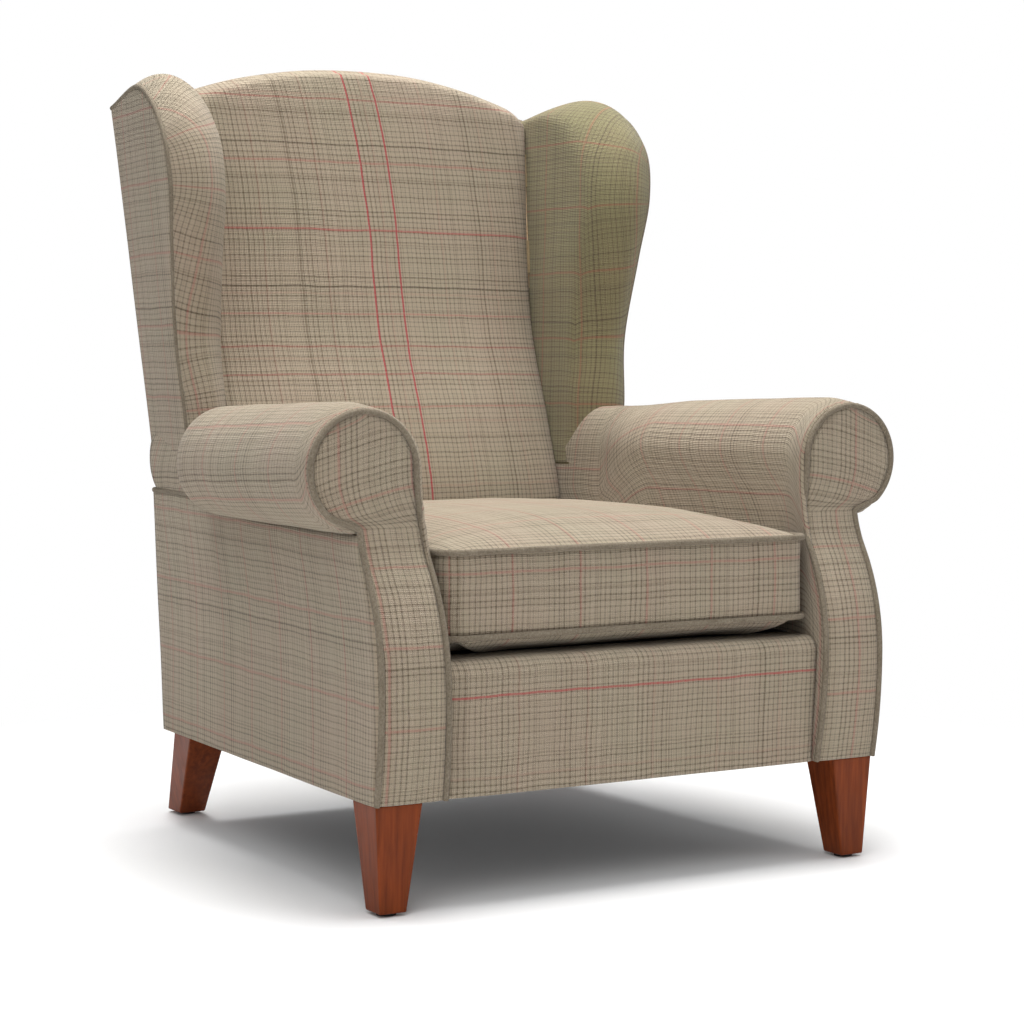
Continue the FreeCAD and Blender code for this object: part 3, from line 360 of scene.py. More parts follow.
def smoothed(bm, rounds):
    """Rounds off creases between pieces of padding, with the seams round the edge left in place."""
    inner = [vertex for vertex in bm.verts if not vertex.is_boundary]
    for _ in range(rounds):
        bmesh.ops.smooth_vert(bm, verts=inner, factor=0.5, use_axis_x=True, use_axis_y=True, use_axis_z=True)


def placed(name, mesh):
    """A smooth-shaded object for a mesh, in the scene."""
    piece = bpy.data.objects.new(name, mesh)
    bpy.context.scene.collection.objects.link(piece)
    for polygon in mesh.polygons:
        polygon.use_smooth = True
    return piece


def new_object(name, bm):
    mesh = bpy.data.meshes.new(name)
    bm.to_mesh(mesh)
    bm.free()
    return placed(name, mesh)


def cloth_patch(name, rows, outward, lay=None, start=(0.0, 0.0), soften=0):
    """A grid of cloth through rows of points. Its UVs are places on the flat cloth, in metres."""
    columns = len(rows[0])
    bm = bmesh.new()
    bmesh.ops.create_grid(bm, x_segments=columns - 1, y_segments=len(rows) - 1, size=0.5)
    flat = lay or cloth_lengths(rows)
    places = {}
    for vertex in bm.verts:
        column = round((vertex.co.x + 0.5) * (columns - 1))
        row = round((vertex.co.y + 0.5) * (len(rows) - 1))
        places[vertex] = (flat[row][column][0] + start[0], flat[row][column][1] + start[1])
        vertex.co = rows[row][column]
    layer = bm.loops.layers.uv.new(WEAVE)
    for face in bm.faces:
        for loop in face.loops:
            loop[layer].uv = places[loop.vert]
    smoothed(bm, soften)
    bm.normal_update()
    facing = sum((face.normal.dot(outward) * face.calc_area() for face in bm.faces), 0.0)
    if facing < 0:
        bmesh.ops.reverse_faces(bm, faces=bm.faces[:])
    return new_object(name, bm)


def thicken(piece, thickness):
    wall = piece.modifiers.new("Wall", "SOLIDIFY")
    wall.thickness = thickness
    wall.offset = -1.0
    return piece


def dress(piece, finish, nodes, body=CHAIR):
    """Gives a finished piece its material and body, and hides the solids that it stands for."""
    piece.data.materials.clear()
    piece.data.materials.append(bpy.data.materials[FINISH + finish])
    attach(piece, body)
    if nodes:
        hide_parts(*nodes)
    return piece


def tube(name, points, diameter, closed=False):
    """A round cord of cloth along a line of points, as a mesh."""
    line = bpy.data.curves.new(name, "CURVE")
    line.dimensions = "3D"
    line.bevel_depth = diameter / 2
    line.bevel_resolution = 3
    line.use_fill_caps = not closed
    spline = line.splines.new("POLY")
    spline.points.add(len(points) - 1)
    for target, point in zip(spline.points, points):
        target.co = (*point, 1.0)
    spline.use_cyclic_u = closed
    holder = bpy.data.objects.new(name + "_line", line)
    bpy.context.scene.collection.objects.link(holder)
    mesh = bpy.data.meshes.new_from_object(holder)
    bpy.data.objects.remove(holder)
    mesh.name = name
    return placed(name, mesh)


def joined(pieces, name):
    """One object out of several meshes."""
    bm = bmesh.new()
    for piece in pieces:
        bm.from_mesh(piece.data)
        bpy.data.objects.remove(piece)
    return new_object(name, bm)


def puff_up(piece, pressure, cap, held, frames=20):
    """Lets the cloth swell under pressure between held seams, and keeps the result in the mesh."""
    mesh = piece.data
    rest = [vertex.co.copy() for vertex in mesh.vertices]
    group = piece.vertex_groups.new(name="held")
    group.add(held, 1.0, "REPLACE")
    modifier = piece.modifiers.new("Swell", "CLOTH")
    cloth = modifier.settings
    cloth.quality = 6
    cloth.mass = 0.3
    cloth.tension_stiffness = 12
    cloth.compression_stiffness = 6
    cloth.shear_stiffness = 4
    cloth.bending_stiffness = 0.6
    cloth.use_pressure = True
    cloth.uniform_pressure_force = pressure
    cloth.effector_weights.gravity = 0
    cloth.vertex_group_mass = group.name
    modifier.point_cache.frame_start = 1
    modifier.point_cache.frame_end = frames
    scene = bpy.context.scene
    for number in range(1, frames + 1):
        scene.frame_set(number)
    evaluated = piece.evaluated_get(bpy.context.evaluated_depsgraph_get())
    moved = [vertex.co.copy() for vertex in evaluated.data.vertices]
    piece.modifiers.remove(modifier)
    piece.vertex_groups.remove(group)
    for vertex, old, new in zip(mesh.vertices, rest, moved):
        step = new - old
        if step.length > cap:
            step = step * (cap / step.length)
        vertex.co = old + step
    mesh.update()
    scene.frame_set(1)


def rough_up(piece, depth, size, seed):
    """Small uneven places in the padding under the cloth."""
    mesh = piece.data
    shift = Vector((seed * 3.7, seed * 1.3, seed * 5.1))
    moves = [vertex.normal * depth * noise(vertex.co / size + shift) for vertex in mesh.vertices]
    for vertex, move in zip(mesh.vertices, moves):
        vertex.co += move
    mesh.update()


def upholster(piece, finish, nodes, rough, layers=2):
    """Makes the padding uneven, gives the cloth its thickness and dresses the piece in tweed."""
    rough_up(piece, *rough)
    thicken(piece, layers * bpy.context.scene.chair_sizes.cloth)
    dress(piece, finish, nodes)


def puckers(distance, along, depth, pitch=0.017, run=0.022):
    """Height of the small gathers that a seam pulls into the cloth beside it."""
    fade = math.exp(-distance / run)
    wave = math.sin(along * math.tau / pitch + 1.7 * math.sin(along * 41.0))
    return depth * fade * wave * smooth_share(0.0, 0.006, distance)


# Materials

class Finish:
    """A node material that is being put together."""

    def __init__(self, name):
        self.material = bpy.data.materials.new(FINISH + name)
        self.material.use_nodes = True
        self.tree = self.material.node_tree
        self.shader = self.tree.nodes["Principled BSDF"]

    def node(self, kind, **settings):
        made = self.tree.nodes.new("ShaderNode" + kind)
        for key, value in settings.items():
            setattr(made, key, value)
        return made

    def feed(self, socket, value):
        if isinstance(value, bpy.types.NodeSocket):
            self.tree.links.new(value, socket)
        else:
            socket.default_value = value

    def math(self, operation, *values):
        made = self.node("Math", operation=operation)
        for socket, value in zip(made.inputs, values):
            self.feed(socket, value)
        return made.outputs[0]

    def times(self, a, b):
        return self.math("MULTIPLY", a, b)

    def plus(self, a, b):
        return self.math("ADD", a, b)

    def mix(self, share, a, b, blend="MIX"):
        made = self.node("Mix", data_type="RGBA", blend_type=blend)
        for index, value in ((0, share), (6, a), (7, b)):
            self.feed(made.inputs[index], value)
        return made.outputs[2]

    def noise(self, vector, scale, detail=2.0, rough=0.5):
        made = self.node("TexNoise")
        self.feed(made.inputs["Vector"], vector)
        made.inputs["Scale"].default_value = scale
        made.inputs["Detail"].default_value = detail
        made.inputs["Roughness"].default_value = rough
        return made.outputs[0]

    def stretched(self, vector, scale):
        made = self.node("Mapping")
        self.feed(made.inputs["Vector"], vector)
        made.inputs["Scale"].default_value = scale
        return made.outputs[0]

    def object_place(self):
        return self.node("TexCoord").outputs["Object"]

    def split(self, vector):
        made = self.node("SeparateXYZ")
        self.feed(made.inputs[0], vector)
        return made.outputs

    def spread(self, value, low, high, new_low=0.0, new_high=1.0):
        made = self.node("MapRange")
        for socket, number in zip(made.inputs, (value, low, high, new_low, new_high)):
            self.feed(socket, number)
        return made.outputs[0]

    def stripe(self, place, pitch, width, phase=0.5):
        """1 on a line that repeats at a pitch, 0 off it."""
        turn = self.math("FRACT", self.plus(self.math("DIVIDE", place, pitch), phase))
        away = self.times(self.math("ABSOLUTE", self.math("SUBTRACT", turn, 0.5)), pitch)
        return self.spread(away, width * 0.75, width * 0.3)

    def line_at(self, place, middle, width):
        """1 on a single line, 0 off it."""
        away = self.math("ABSOLUTE", self.math("SUBTRACT", place, middle))
        return self.spread(away, width * 0.75, width * 0.3)

    def strongest(self, places, marks, width):
        """The strongest of several single lines at each place."""
        found = 0.0
        for way, middle, strength in marks:
            line = self.times(self.line_at(places[way], middle, width), strength)
            found = self.math("MAXIMUM", found, line)
        return found

    def per_thread(self, place, pitch):
        """A random tone that is the same all along one thread."""
        made = self.node("TexWhiteNoise", noise_dimensions="1D")
        self.feed(made.inputs["W"], self.math("FLOOR", self.math("DIVIDE", place, pitch)))
        return made.outputs["Value"]

    def bump(self, height, distance, strength=1.0):
        made = self.node("Bump")
        self.feed(made.inputs["Height"], height)
        made.inputs["Distance"].default_value = distance
        made.inputs["Strength"].default_value = strength
        self.feed(self.shader.inputs["Normal"], made.outputs[0])

    def surface(self, colour, roughness, **sockets):
        self.feed(self.shader.inputs["Base Color"], colour)
        self.feed(self.shader.inputs["Roughness"], roughness)
        for name, value in sockets.items():
            self.shader.inputs[name.replace("_", " ")].default_value = value


def rgba(colour):
    return (*colour, 1.0)


def tweed(name, light, reds=(), darks=()):
    """Checked tweed: three-yarn check, large dark check and red overcheck, with slubs and worn tone."""
    look = bpy.context.scene.chair_colours
    made = Finish(name)
    flat = made.node("UVMap", uv_map=WEAVE).outputs[0]
    wander = made.node("TexNoise")
    made.feed(wander.inputs["Vector"], flat)
    wander.inputs["Scale"].default_value = 14.0
    shift = made.node("VectorMath", operation="MULTIPLY_ADD")
    made.feed(shift.inputs[0], wander.outputs["Color"])
    shift.inputs[1].default_value = (0.005, 0.005, 0.0)
    made.feed(shift.inputs[2], flat)
    places = made.split(shift.outputs[0])[:2]
    slub = made.noise(flat, 330.0, 3.0, 0.7)
    small = []
    large = []
    red = []
    ribs = []
    for place in places:
        tone = made.per_thread(place, look.thread)
        line = made.stripe(place, look.thread * 3, look.thread * 0.7)
        small.append(made.times(line, made.math("MULTIPLY_ADD", tone, 0.7, 0.45)))
        small.append(made.times(tone, 0.30))
        large.append(made.stripe(place, look.line, DARK_LINE))
        red.append(made.stripe(place, look.red_line, RED_LINE, 0.25))
        ribs.append(made.math("ABSOLUTE", made.math("SINE", made.times(place, math.pi / look.thread))))
    lines = made.plus(made.plus(small[0], small[2]), made.plus(small[1], small[3]))
    lines = made.plus(made.times(lines, 0.46), made.times(made.times(small[0], small[2]), 0.12))
    wide = made.times(made.math("MAXIMUM", *large), 0.24)
    wide = made.math("MAXIMUM", wide, made.strongest(places, darks, BOLD_DARK_LINE))
    broken = made.math("MULTIPLY_ADD", slub, 1.5, 0.15)
    darkness = made.times(made.plus(lines, wide), broken)
    cloth = made.mix(made.math("MINIMUM", darkness, 1.0), rgba(light), rgba(look.dark_yarn))
    warmth = made.spread(made.noise(flat, 7.0, 2.0), 0.35, 0.65)
    tint = made.mix(warmth, (0.46, 0.47, 0.40, 1), (0.56, 0.47, 0.44, 1))
    cloth = made.mix(0.35, cloth, tint, "SOFT_LIGHT")
    overcheck = made.times(made.math("MAXIMUM", *red), 0.08 if reds else 0.26)
    overcheck = made.math("MAXIMUM", overcheck, made.strongest(places, reds, BOLD_RED_LINE))
    overcheck = made.times(overcheck, broken)
    cloth = made.mix(made.math("MINIMUM", overcheck, 0.9), cloth, rgba(look.red_yarn))
    made.surface(cloth, 0.88, Sheen_Weight=0.16, Sheen_Roughness=0.45, Specular_IOR_Level=0.2)
    made.bump(made.math("MULTIPLY_ADD", slub, 0.9, made.plus(*ribs)), 0.0007, 0.8)


def piping_cloth():
    """The tweed cut on the bias, its check slantwise round the cord: drawn as a fine speckle in tones darker
    than the tweed's.
    """
    look = bpy.context.scene.chair_colours
    made = Finish("piping")
    place = made.object_place()
    speck = made.noise(place, 420.0, 2.0, 0.7)
    patch = made.noise(place, 40.0, 2.0)
    tone = made.math("MULTIPLY_ADD", speck, 1.5, made.math("MULTIPLY_ADD", patch, 0.5, -0.5))
    dark = rgba([value * 0.9 for value in look.dark_yarn])
    light = rgba([value * 0.68 for value in look.light_yarn])
    made.surface(made.mix(made.math("MINIMUM", tone, 1.0), dark, light), 0.9, Sheen_Weight=0.05,
                 Specular_IOR_Level=0.15)
    made.bump(speck, 0.0008, 0.8)


def leg_wood():
    """Stained wood with its grain upright, under satin lacquer that is a little worn."""
    look = bpy.context.scene.chair_colours
    made = Finish("leg_wood")
    place = made.object_place()
    grain = made.noise(made.stretched(place, (1.0, 1.0, 0.06)), 160.0, 4.0, 0.6)
    figure = made.noise(made.stretched(place, (1.0, 1.0, 0.15)), 22.0, 2.0)
    dark = rgba([value * 0.5 for value in look.wood])
    light = rgba([value * 1.35 for value in look.wood])
    colour = made.mix(made.spread(grain, 0.3, 0.7), dark, light)
    colour = made.mix(made.spread(figure, 0.3, 0.7, 0.0, 0.45), colour, rgba(look.wood))
    rough = made.spread(made.noise(place, 18.0, 3.0), 0.3, 0.7, 0.32, 0.46)
    made.surface(colour, rough, Specular_IOR_Level=0.14)
    made.bump(grain, 0.0002, 0.35)


def plain_wood():
    """Sawn beech of the hidden frame."""
    made = Finish("frame_wood")
    place = made.object_place()
    grain = made.noise(made.stretched(place, (0.2, 1.0, 1.0)), 120.0, 4.0, 0.6)
    fleck = made.noise(made.stretched(place, (0.4, 1.0, 0.4)), 420.0, 1.0)
    colour = made.mix(grain, (0.50, 0.33, 0.18, 1), (0.72, 0.55, 0.36, 1))
    colour = made.mix(made.spread(fleck, 0.62, 0.75), colour, (0.42, 0.26, 0.14, 1))
    made.surface(colour, 0.68)
    made.bump(grain, 0.0003, 0.5)


def metal(name, colour, roughness):
    made = Finish(name)
    place = made.object_place()
    drawn = made.noise(made.stretched(place, (1.0, 1.0, 0.15)), 500.0, 2.0)
    stain = made.noise(place, 60.0, 2.0)
    shade = rgba([value * 0.7 for value in colour])
    made.surface(made.mix(made.spread(stain, 0.4, 0.7), rgba(colour), shade),
                 made.spread(drawn, 0.2, 0.8, roughness - 0.08, roughness + 0.1), Metallic=1.0)
    made.bump(drawn, 0.00004, 0.3)


def felt(name, low, high, size):
    """Non-woven cloth, foam wrap or moulded plastic: two tones and a fine uneven surface."""
    made = Finish(name)
    place = made.object_place()
    speck = made.noise(place, size, 3.0, 0.65)
    made.surface(made.mix(speck, rgba(low), rgba(high)), 0.85, Specular_IOR_Level=0.25)
    made.bump(speck, 0.0004, 0.6)


def woven(name, low, high, pitch):
    """Plain open weave by place, as on hessian, webbing and zip tape."""
    made = Finish(name)
    x, y, z = made.split(made.object_place())
    upright = made.plus(y, z)
    ribs = [made.math("ABSOLUTE", made.math("SINE", made.times(place, math.pi / pitch)))
            for place in (x, upright)]
    height = made.times(*ribs)
    slub = made.noise(made.object_place(), 300.0, 2.0)
    tone = made.math("MULTIPLY_ADD", height, 0.7, made.times(slub, 0.4))
    made.surface(made.mix(tone, rgba(low), rgba(high)), 0.9, Specular_IOR_Level=0.2)
    made.bump(height, 0.0006, 0.7)


def make_materials():
    look = bpy.context.scene.chair_colours
    tweed("tweed", look.light_yarn)
    # A darker, greener copy of the tweed for the right inside wing: painted shade.
    tweed("tweed_olive", look.wing_shade_yarn)
    tweed("tweed_back", look.light_yarn, BACK_REDS, BACK_DARKS)
    tweed("tweed_border", look.light_yarn, BORDER_REDS)
    piping_cloth()
    leg_wood()
    plain_wood()
    metal("spring_steel", (0.42, 0.42, 0.43), 0.35)
    metal("fixings", (0.62, 0.61, 0.58), 0.3)
    metal("zip_metal", (0.45, 0.34, 0.17), 0.35)
    felt("lining", (0.012, 0.012, 0.013), (0.045, 0.045, 0.048), 600.0)
    felt("padding", (0.70, 0.68, 0.62), (0.88, 0.87, 0.82), 300.0)
    felt("glide_plastic", (0.02, 0.02, 0.02), (0.05, 0.05, 0.05), 900.0)
    woven("hessian", (0.20, 0.14, 0.07), (0.52, 0.40, 0.24), 0.0016)
    woven("zip_tape", (0.14, 0.115, 0.08), (0.30, 0.26, 0.19), 0.0011)


# Inside back

def back_section(x_share, half_of):
    """One upright line of the inside back, from the tuck behind the cushion to behind the crest."""
    lowness = 1 - x_share ** 2
    run = BACK_EDGE_RUN / half_of(CREST_Z)
    edge = clamp((abs(x_share) - 1 + run) / run)
    inset = BACK_EDGE_ROLL * (1 - math.sqrt(1 - min(edge, 0.999) ** 2))
    top = crest_z(x_share * half_of(CREST_Z))
    points = [(BACK_TUCK_Y + inset, PAD_BASE_Z)]
    for z, y, crown in BACK_FACE:
        points.append((y - crown * lowness + inset, z))
    shoulder_y = BACK_TOP_Y - BACK_TOP_CROWN * lowness + inset
    rear = rear_y(top) - EDGE_GAP
    points.append((shoulder_y, top - BACK_TOP_ROLL - inset / 2))
    points.append((lerp(shoulder_y, rear, 0.22), top - 0.0075 - inset))
    points.append((lerp(shoulder_y, rear, 0.55), top - inset))
    points.append((rear - 0.004, top - 0.007 - inset))
    points.append((rear_y(top - 0.03) - REAR_GAP, top - 0.03 - inset))
    flat = [Vector((0.0, y, z)) for y, z in points]
    return [Vector((x_share * half_of(point.z), point.y, point.z)) for point in curve_through(flat)]


def inside_back_rows():
    """Rows across the inside back, closer together towards its rolled sides."""
    def half_of(z):
        return inner_x(z) - EDGE_GAP

    across = steps_for(2 * half_of(CREST_Z))
    along = steps_for(CREST_Z - PAD_BASE_Z + 0.08)
    columns = []
    for index in range(across + 1):
        share = math.sin((index / across - 0.5) * math.pi * 0.96) / math.sin(math.pi * 0.48)
        columns.append(evenly(back_section(share, half_of), along + 1))
    return transposed(columns)


def back_lay(rows):
    """Places on the flat cloth, which was pulled a little askew towards the crest."""
    found = []
    for places, row in zip(cloth_lengths(rows), rows):
        found.append([(across + BACK_SKEW * max(point.z - BACK_SKEW_Z, 0.0) ** 2, along)
                      for (across, along), point in zip(places, row)])
    return found


class BuildInsideBack(bpy.types.Operator):
    """Padded inside back with its crest roll"""

    bl_idname = "armchair.inside_back"
    bl_label = "Inside back"

    def execute(self, context):
        rows = inside_back_rows()
        back = cloth_patch("inside_back", rows, FORWARD, lay=back_lay(rows))
        upholster(back, "tweed_back", ["inside_back_cover", "inside_back_pad"], (0.0016, 0.11, 1))
        return {"FINISHED"}


# Arms

def scroll_reach(y):
    """How far out the scroll reaches: full, then rounding off in front of the wing."""
    share = clamp((y - SCROLL_END_Y) / SCROLL_END_RUN)
    side = outer_x(SCROLL_END_Y + SCROLL_END_RUN)
    if share == 0:
        return SCROLL_REACH
    return side + (SCROLL_REACH - side) * (1 - share ** SCROLL_END_ROUND) ** (1 / SCROLL_END_ROUND)


def scroll_shape(y):
    """Middle, inner and outer half width and end angle of the scroll's oval at depth y."""
    middle_z = scroll_z(y)
    inside = inner_x(middle_z)
    reach = max(scroll_reach(y), outer_x(y) + 0.0001)
    middle_x = max(reach - scroll_radius(y), (inside + reach) / 2)
    turn = -math.acos(clamp((outer_x(y) - middle_x) / (reach - middle_x), -1.0, 1.0))
    return middle_x, middle_z, middle_x - inside, reach - middle_x, turn


def arm_low(y):
    """Height of the lower edge of the inside arm's cover on the outside of the arm."""
    share = smooth_share(SCROLL_END_Y, SCROLL_END_Y + SCROLL_END_RUN, y)
    neck = scroll_z(SCROLL_END_Y) - scroll_radius(SCROLL_END_Y)
    return lerp(neck, SEAM_Z, share)


def arm_base(y):
    """Height of the cover's lower edge inside the arm: the hem at the front, the seat behind it."""
    return lerp(LEG_HEIGHT, PAD_BASE_Z, smooth_share(FRONT_Y + 0.010, FRONT_Y + 0.080, y))


def arm_section(y, count):
    """The cover's line at depth y: up the inside, over the scroll and in under it."""
    middle_x, middle_z, half_in, half_out, turn = scroll_shape(y)
    crown = SCROLL_CROWN * smooth_share(SCROLL_FACE_Y, SCROLL_FACE_Y + 0.05, y)
    crown = crown * (1 - smooth_share(0.0, 0.12, y))
    base = arm_base(y)
    points = [Vector((inner_x(base), y, base)), Vector((inner_x(middle_z), y, middle_z))]
    for step in range(1, 41):
        angle = lerp(math.pi, turn, step / 40)
        half = half_in if angle > math.pi / 2 else half_out
        rise = (scroll_radius(y) + crown * max(math.sin(angle), 0.0)) * math.sin(angle)
        points.append(Vector((middle_x + half * math.cos(angle), y, middle_z + rise)))
    low = arm_low(y)
    if y > SCROLL_END_Y and points[-1].z > low:
        points.append(Vector((outer_x(y), y, low)))
    return evenly(points, count)


def arm_rows():
    """The inside arm's cover, closely spaced where it rolls over the front edge."""
    around = steps_for(ARM_GIRTH)
    along = steps_for(ARM_LENGTH)
    start = arm_section(FRONT_Y, around + 1)
    rows = []
    for step in range(along + 1):
        share = (step / along) ** FRONT_DENSITY
        depths = [lerp(facing_y(point.z) + FACING_GAP, ARM_TAIL_Y, share) for point in start]
        rows.append([arm_section(y, around + 1)[index] for index, y in enumerate(depths)])
    return rows


def front_roll(distance):
    """How far a cover lies in from its full shape where it rolls over the arm's front edge."""
    tight = max(FACING_ROUND - distance, 0.0)
    return FACING_ROUND - math.sqrt(FACING_ROUND ** 2 - tight ** 2) + 0.002 * math.exp(-distance / 0.014)


def pull_at_facing(rows, depth):
    """Draws the cover down to the facing's piping and adds the small gathers beside it."""
    found = []
    for row, places in zip(rows, cloth_lengths(rows)):
        line = []
        for index, (point, (across, away)) in enumerate(zip(row, places)):
            along = row[min(index + 1, len(row) - 1)] - row[max(index - 1, 0)]
            out = along.normalized().cross(-FORWARD).normalized()
            away = abs(away)
            line.append(point + out * (puckers(away, across, depth) - front_roll(away)))
        found.append(line)
    return found


def facing_rows(inset):
    """Rows across the arm's front, from the hem up to the top of the scroll."""
    radius = scroll_radius(SCROLL_FACE_Y) - inset - FACING_FLATTENING
    middle_x = SCROLL_REACH - inset - radius
    middle_z = scroll_z(SCROLL_FACE_Y)
    side = outer_x(FRONT_Y) - inset
    turn = -math.acos((side - middle_x) / radius)
    neck = middle_z + radius * math.sin(turn)
    count = steps_for(neck - LEG_HEIGHT)
    heights = [lerp(LEG_HEIGHT, neck, step / count) for step in range(count)]
    for step in range(FACING_SCROLL_STEPS + 1):
        angle = lerp(turn, math.radians(88.5), step / FACING_SCROLL_STEPS)
        heights.append(middle_z + radius * math.sin(angle))
    rows = []
    for z in heights:
        half = math.sqrt(max(radius ** 2 - (z - middle_z) ** 2, 0.0))
        left_half = half if z > middle_z else radius
        in_scroll = smooth_share(FACING_BLEND_Z, middle_z, z)
        left = lerp(inner_x(z) + inset - 0.001, middle_x - left_half, in_scroll)
        right = lerp(side, middle_x + half, smooth_share(neck - 0.004, neck + 0.016, z))
        rows.append([Vector((lerp(left, right, step / FACING_COLUMNS), facing_y(z), z))
                     for step in range(FACING_COLUMNS + 1)])
    return rows


def swollen_facing(rows, puff):
    """Pushes a facing's middle forward and lays its edges down to the piping."""
    found = []
    for row in rows:
        half = (row[-1].x - row[0].x) / 2
        middle = (row[-1].x + row[0].x) / 2
        line = []
        for point in row:
            edge = min(half - abs(point.x - middle), max(SCROLL_Z + SCROLL_RADIUS - point.z, 0.0))
            line.append(point + FORWARD * puff * (1 - math.exp(-edge / 0.010)))
        found.append(line)
    return found


def facing_line(inset):
    """The line that the facing's piping follows, from the inner foot over the scroll to the outer foot."""
    rows = facing_rows(inset)
    left = [row[0] for row in rows]
    right = [row[-1] for row in rows]
    top = (left[-1] + right[-1]) / 2
    line = curve_through(left + [top] + right[::-1], 3)
    return evenly([point + Vector((0, -0.0006, 0)) for point in line], 240)


def outside_arm_rows():
    """The flat panel under the scroll, from the facing to the back."""
    def place(up, along):
        share = along ** FRONT_DENSITY
        y_guess = lerp(FRONT_Y, BACK_Y, share)
        turn = scroll_shape(min(y_guess, SCROLL_END_Y))[4]
        neck = scroll_z(y_guess) + scroll_radius(y_guess) * math.sin(turn)
        top = max(neck, arm_low(y_guess)) if y_guess > SCROLL_END_Y else neck
        z = lerp(LEG_HEIGHT, top, up)
        front = facing_y(z) + FACING_GAP
        y = lerp(front, rear_y(z) - EDGE_GAP, share)
        return Vector((outer_x(y) - front_roll(y - front), y, z))

    return grid_rows(steps_for(OUTSIDE_ARM_HEIGHT), steps_for(ARM_LENGTH), place)


def swell(rows, out, puff):
    """Swells a panel away from its four edges."""
    found = []
    for number, row in enumerate(rows):
        up = number / (len(rows) - 1)
        line = []
        for index, point in enumerate(row):
            across = index / (len(row) - 1)
            line.append(point + out * puff * (16 * across * (1 - across) * up * (1 - up)) ** 0.4)
        found.append(line)
    return found


class BuildArms(bpy.types.Operator):
    """Inside arms with their scrolls, facings, facing piping and outside arms"""

    bl_idname = "armchair.arms"
    bl_label = "Arms"

    def execute(self, context):
        sizes = context.scene.chair_sizes
        cover_rows = pull_at_facing(arm_rows(), sizes.pucker)
        facing = swollen_facing(facing_rows(FACING_COVER_INSET), sizes.facing_puff)
        panel = swell(outside_arm_rows(), Vector((1, 0, 0)), sizes.panel_puff)
        line = facing_line(FACING_ROUND)
        for side, way in SIDES:
            seed = 2 + way
            cover = cloth_patch("inside_arm_" + side, on_side(cover_rows, way), Vector((-way, 0, 1)),
                                start=(0.021 * way, 0.012))
            upholster(cover, "tweed", ["inside_arm_cover_" + side, "arm_pad_" + side], (0.0012, 0.09, seed))
            plate = cloth_patch("arm_facing_" + side, on_side(facing, way), FORWARD,
                                start=(0.013 * way, 0.03))
            upholster(plate, "tweed", ["arm_facing_cover_" + side], (0.0006, 0.06, seed))
            outside = cloth_patch("outside_arm_" + side, on_side(panel, way), Vector((way, 0, 0)),
                                  start=(0.017 * way, 0.0))
            upholster(outside, "tweed", ["outside_arm_cover_" + side], (0.0008, 0.13, seed), layers=1)
            piping = tube("facing_piping_" + side, on_side([line], way)[0], sizes.piping)
            dress(piping, "piping", ["arm_facing_piping"])
        return {"FINISHED"}


# Wings

def wing_edge_line(count):
    """The wing's front and top edge in side view."""
    return evenly(curve_through([Vector((0.0, y, z)) for y, z in WING_EDGE]), count)


def ways_out(line):
    """Outward direction, in side view, at each point of the wing's edge."""
    found = []
    for index in range(len(line)):
        along = line[min(index + 1, len(line) - 1)] - line[max(index - 1, 0)]
        found.append(Vector((0.0, -along.z, along.y)).normalized())
    return found


def along_values(values, share):
    """Smooth value at a share of the way through a row of values."""
    points = [Vector((index / (len(values) - 1), value, 0.0)) for index, value in enumerate(values)]
    line = curve_through(points, 8)
    place = share * (len(line) - 1)
    index = min(int(place), len(line) - 2)
    return lerp(line[index].y, line[index + 1].y, place - index)


def wing_rows():
    """Rows from the outer piping over the roll and along the inside face, one for each place on the edge."""
    edge = wing_edge_line(steps_for(WING_EDGE_LENGTH) + 1)
    outs = ways_out(edge)
    across = steps_for(WING_THICKNESS)
    inward = steps_for(WING_INSIDE_DEPTH)
    rows = []
    flat = []
    for number, (point, out) in enumerate(zip(edge, outs)):
        share = number / (len(edge) - 1)
        top_share = smooth_share(0.70, 0.95, share)
        line = []
        for step in range(across + 1):
            station = step / across
            front_grow = along_values(WING_ROLL_FRONT, station)
            grow = lerp(front_grow, along_values(WING_ROLL_TOP, station), top_share)
            y = point.y + out.y * grow
            z = point.z + out.z * grow
            line.append(Vector((lerp(wing_x(y, z), inner_x(z), station), y, z)))
        last = line[-1]
        spine_z = lerp(0.50, 0.985, smooth_share(0.0, 1.0, share))
        spine = Vector((0.0, rear_y(spine_z) - 0.012, spine_z))
        for step in range(1, inward + 1):
            y = lerp(last.y, spine.y, step / inward)
            z = lerp(last.z, spine.z, step / inward)
            line.append(Vector((inner_x(z), y, z)))
        rows.append(line)
        laid = [(point.y, point.z) for point in line]
        length = 0.0
        for step in range(across - 1, -1, -1):
            length += (line[step] - line[step + 1]).length
            laid[step] = (last.y + out.y * length, last.z + out.z * length)
        flat.append(laid)
    return rows, flat


def outside_wing_rows():
    """The flared outside panel, between the piped edge and the rear."""
    edge = wing_edge_line(steps_for(WING_EDGE_LENGTH) + 1)
    outs = ways_out(edge)
    count = steps_for(WING_OUTSIDE_DEPTH)
    rows = []
    for number, (point, out) in enumerate(zip(edge, outs)):
        share = number / (len(edge) - 1)
        front = point - out * 0.004
        front_z = lerp(SEAM_Z, front.z, smooth_share(-0.1, 0.25, share)) if share < 0.25 else front.z
        rear_z = lerp(SEAM_Z, 1.012, share)
        row = []
        for step in range(count + 1):
            y = lerp(front.y, rear_y(rear_z) - EDGE_GAP, step / count)
            z = lerp(front_z, rear_z, step / count)
            row.append(Vector((wing_x(y, z), y, z)))
        rows.append(row)
    return rows


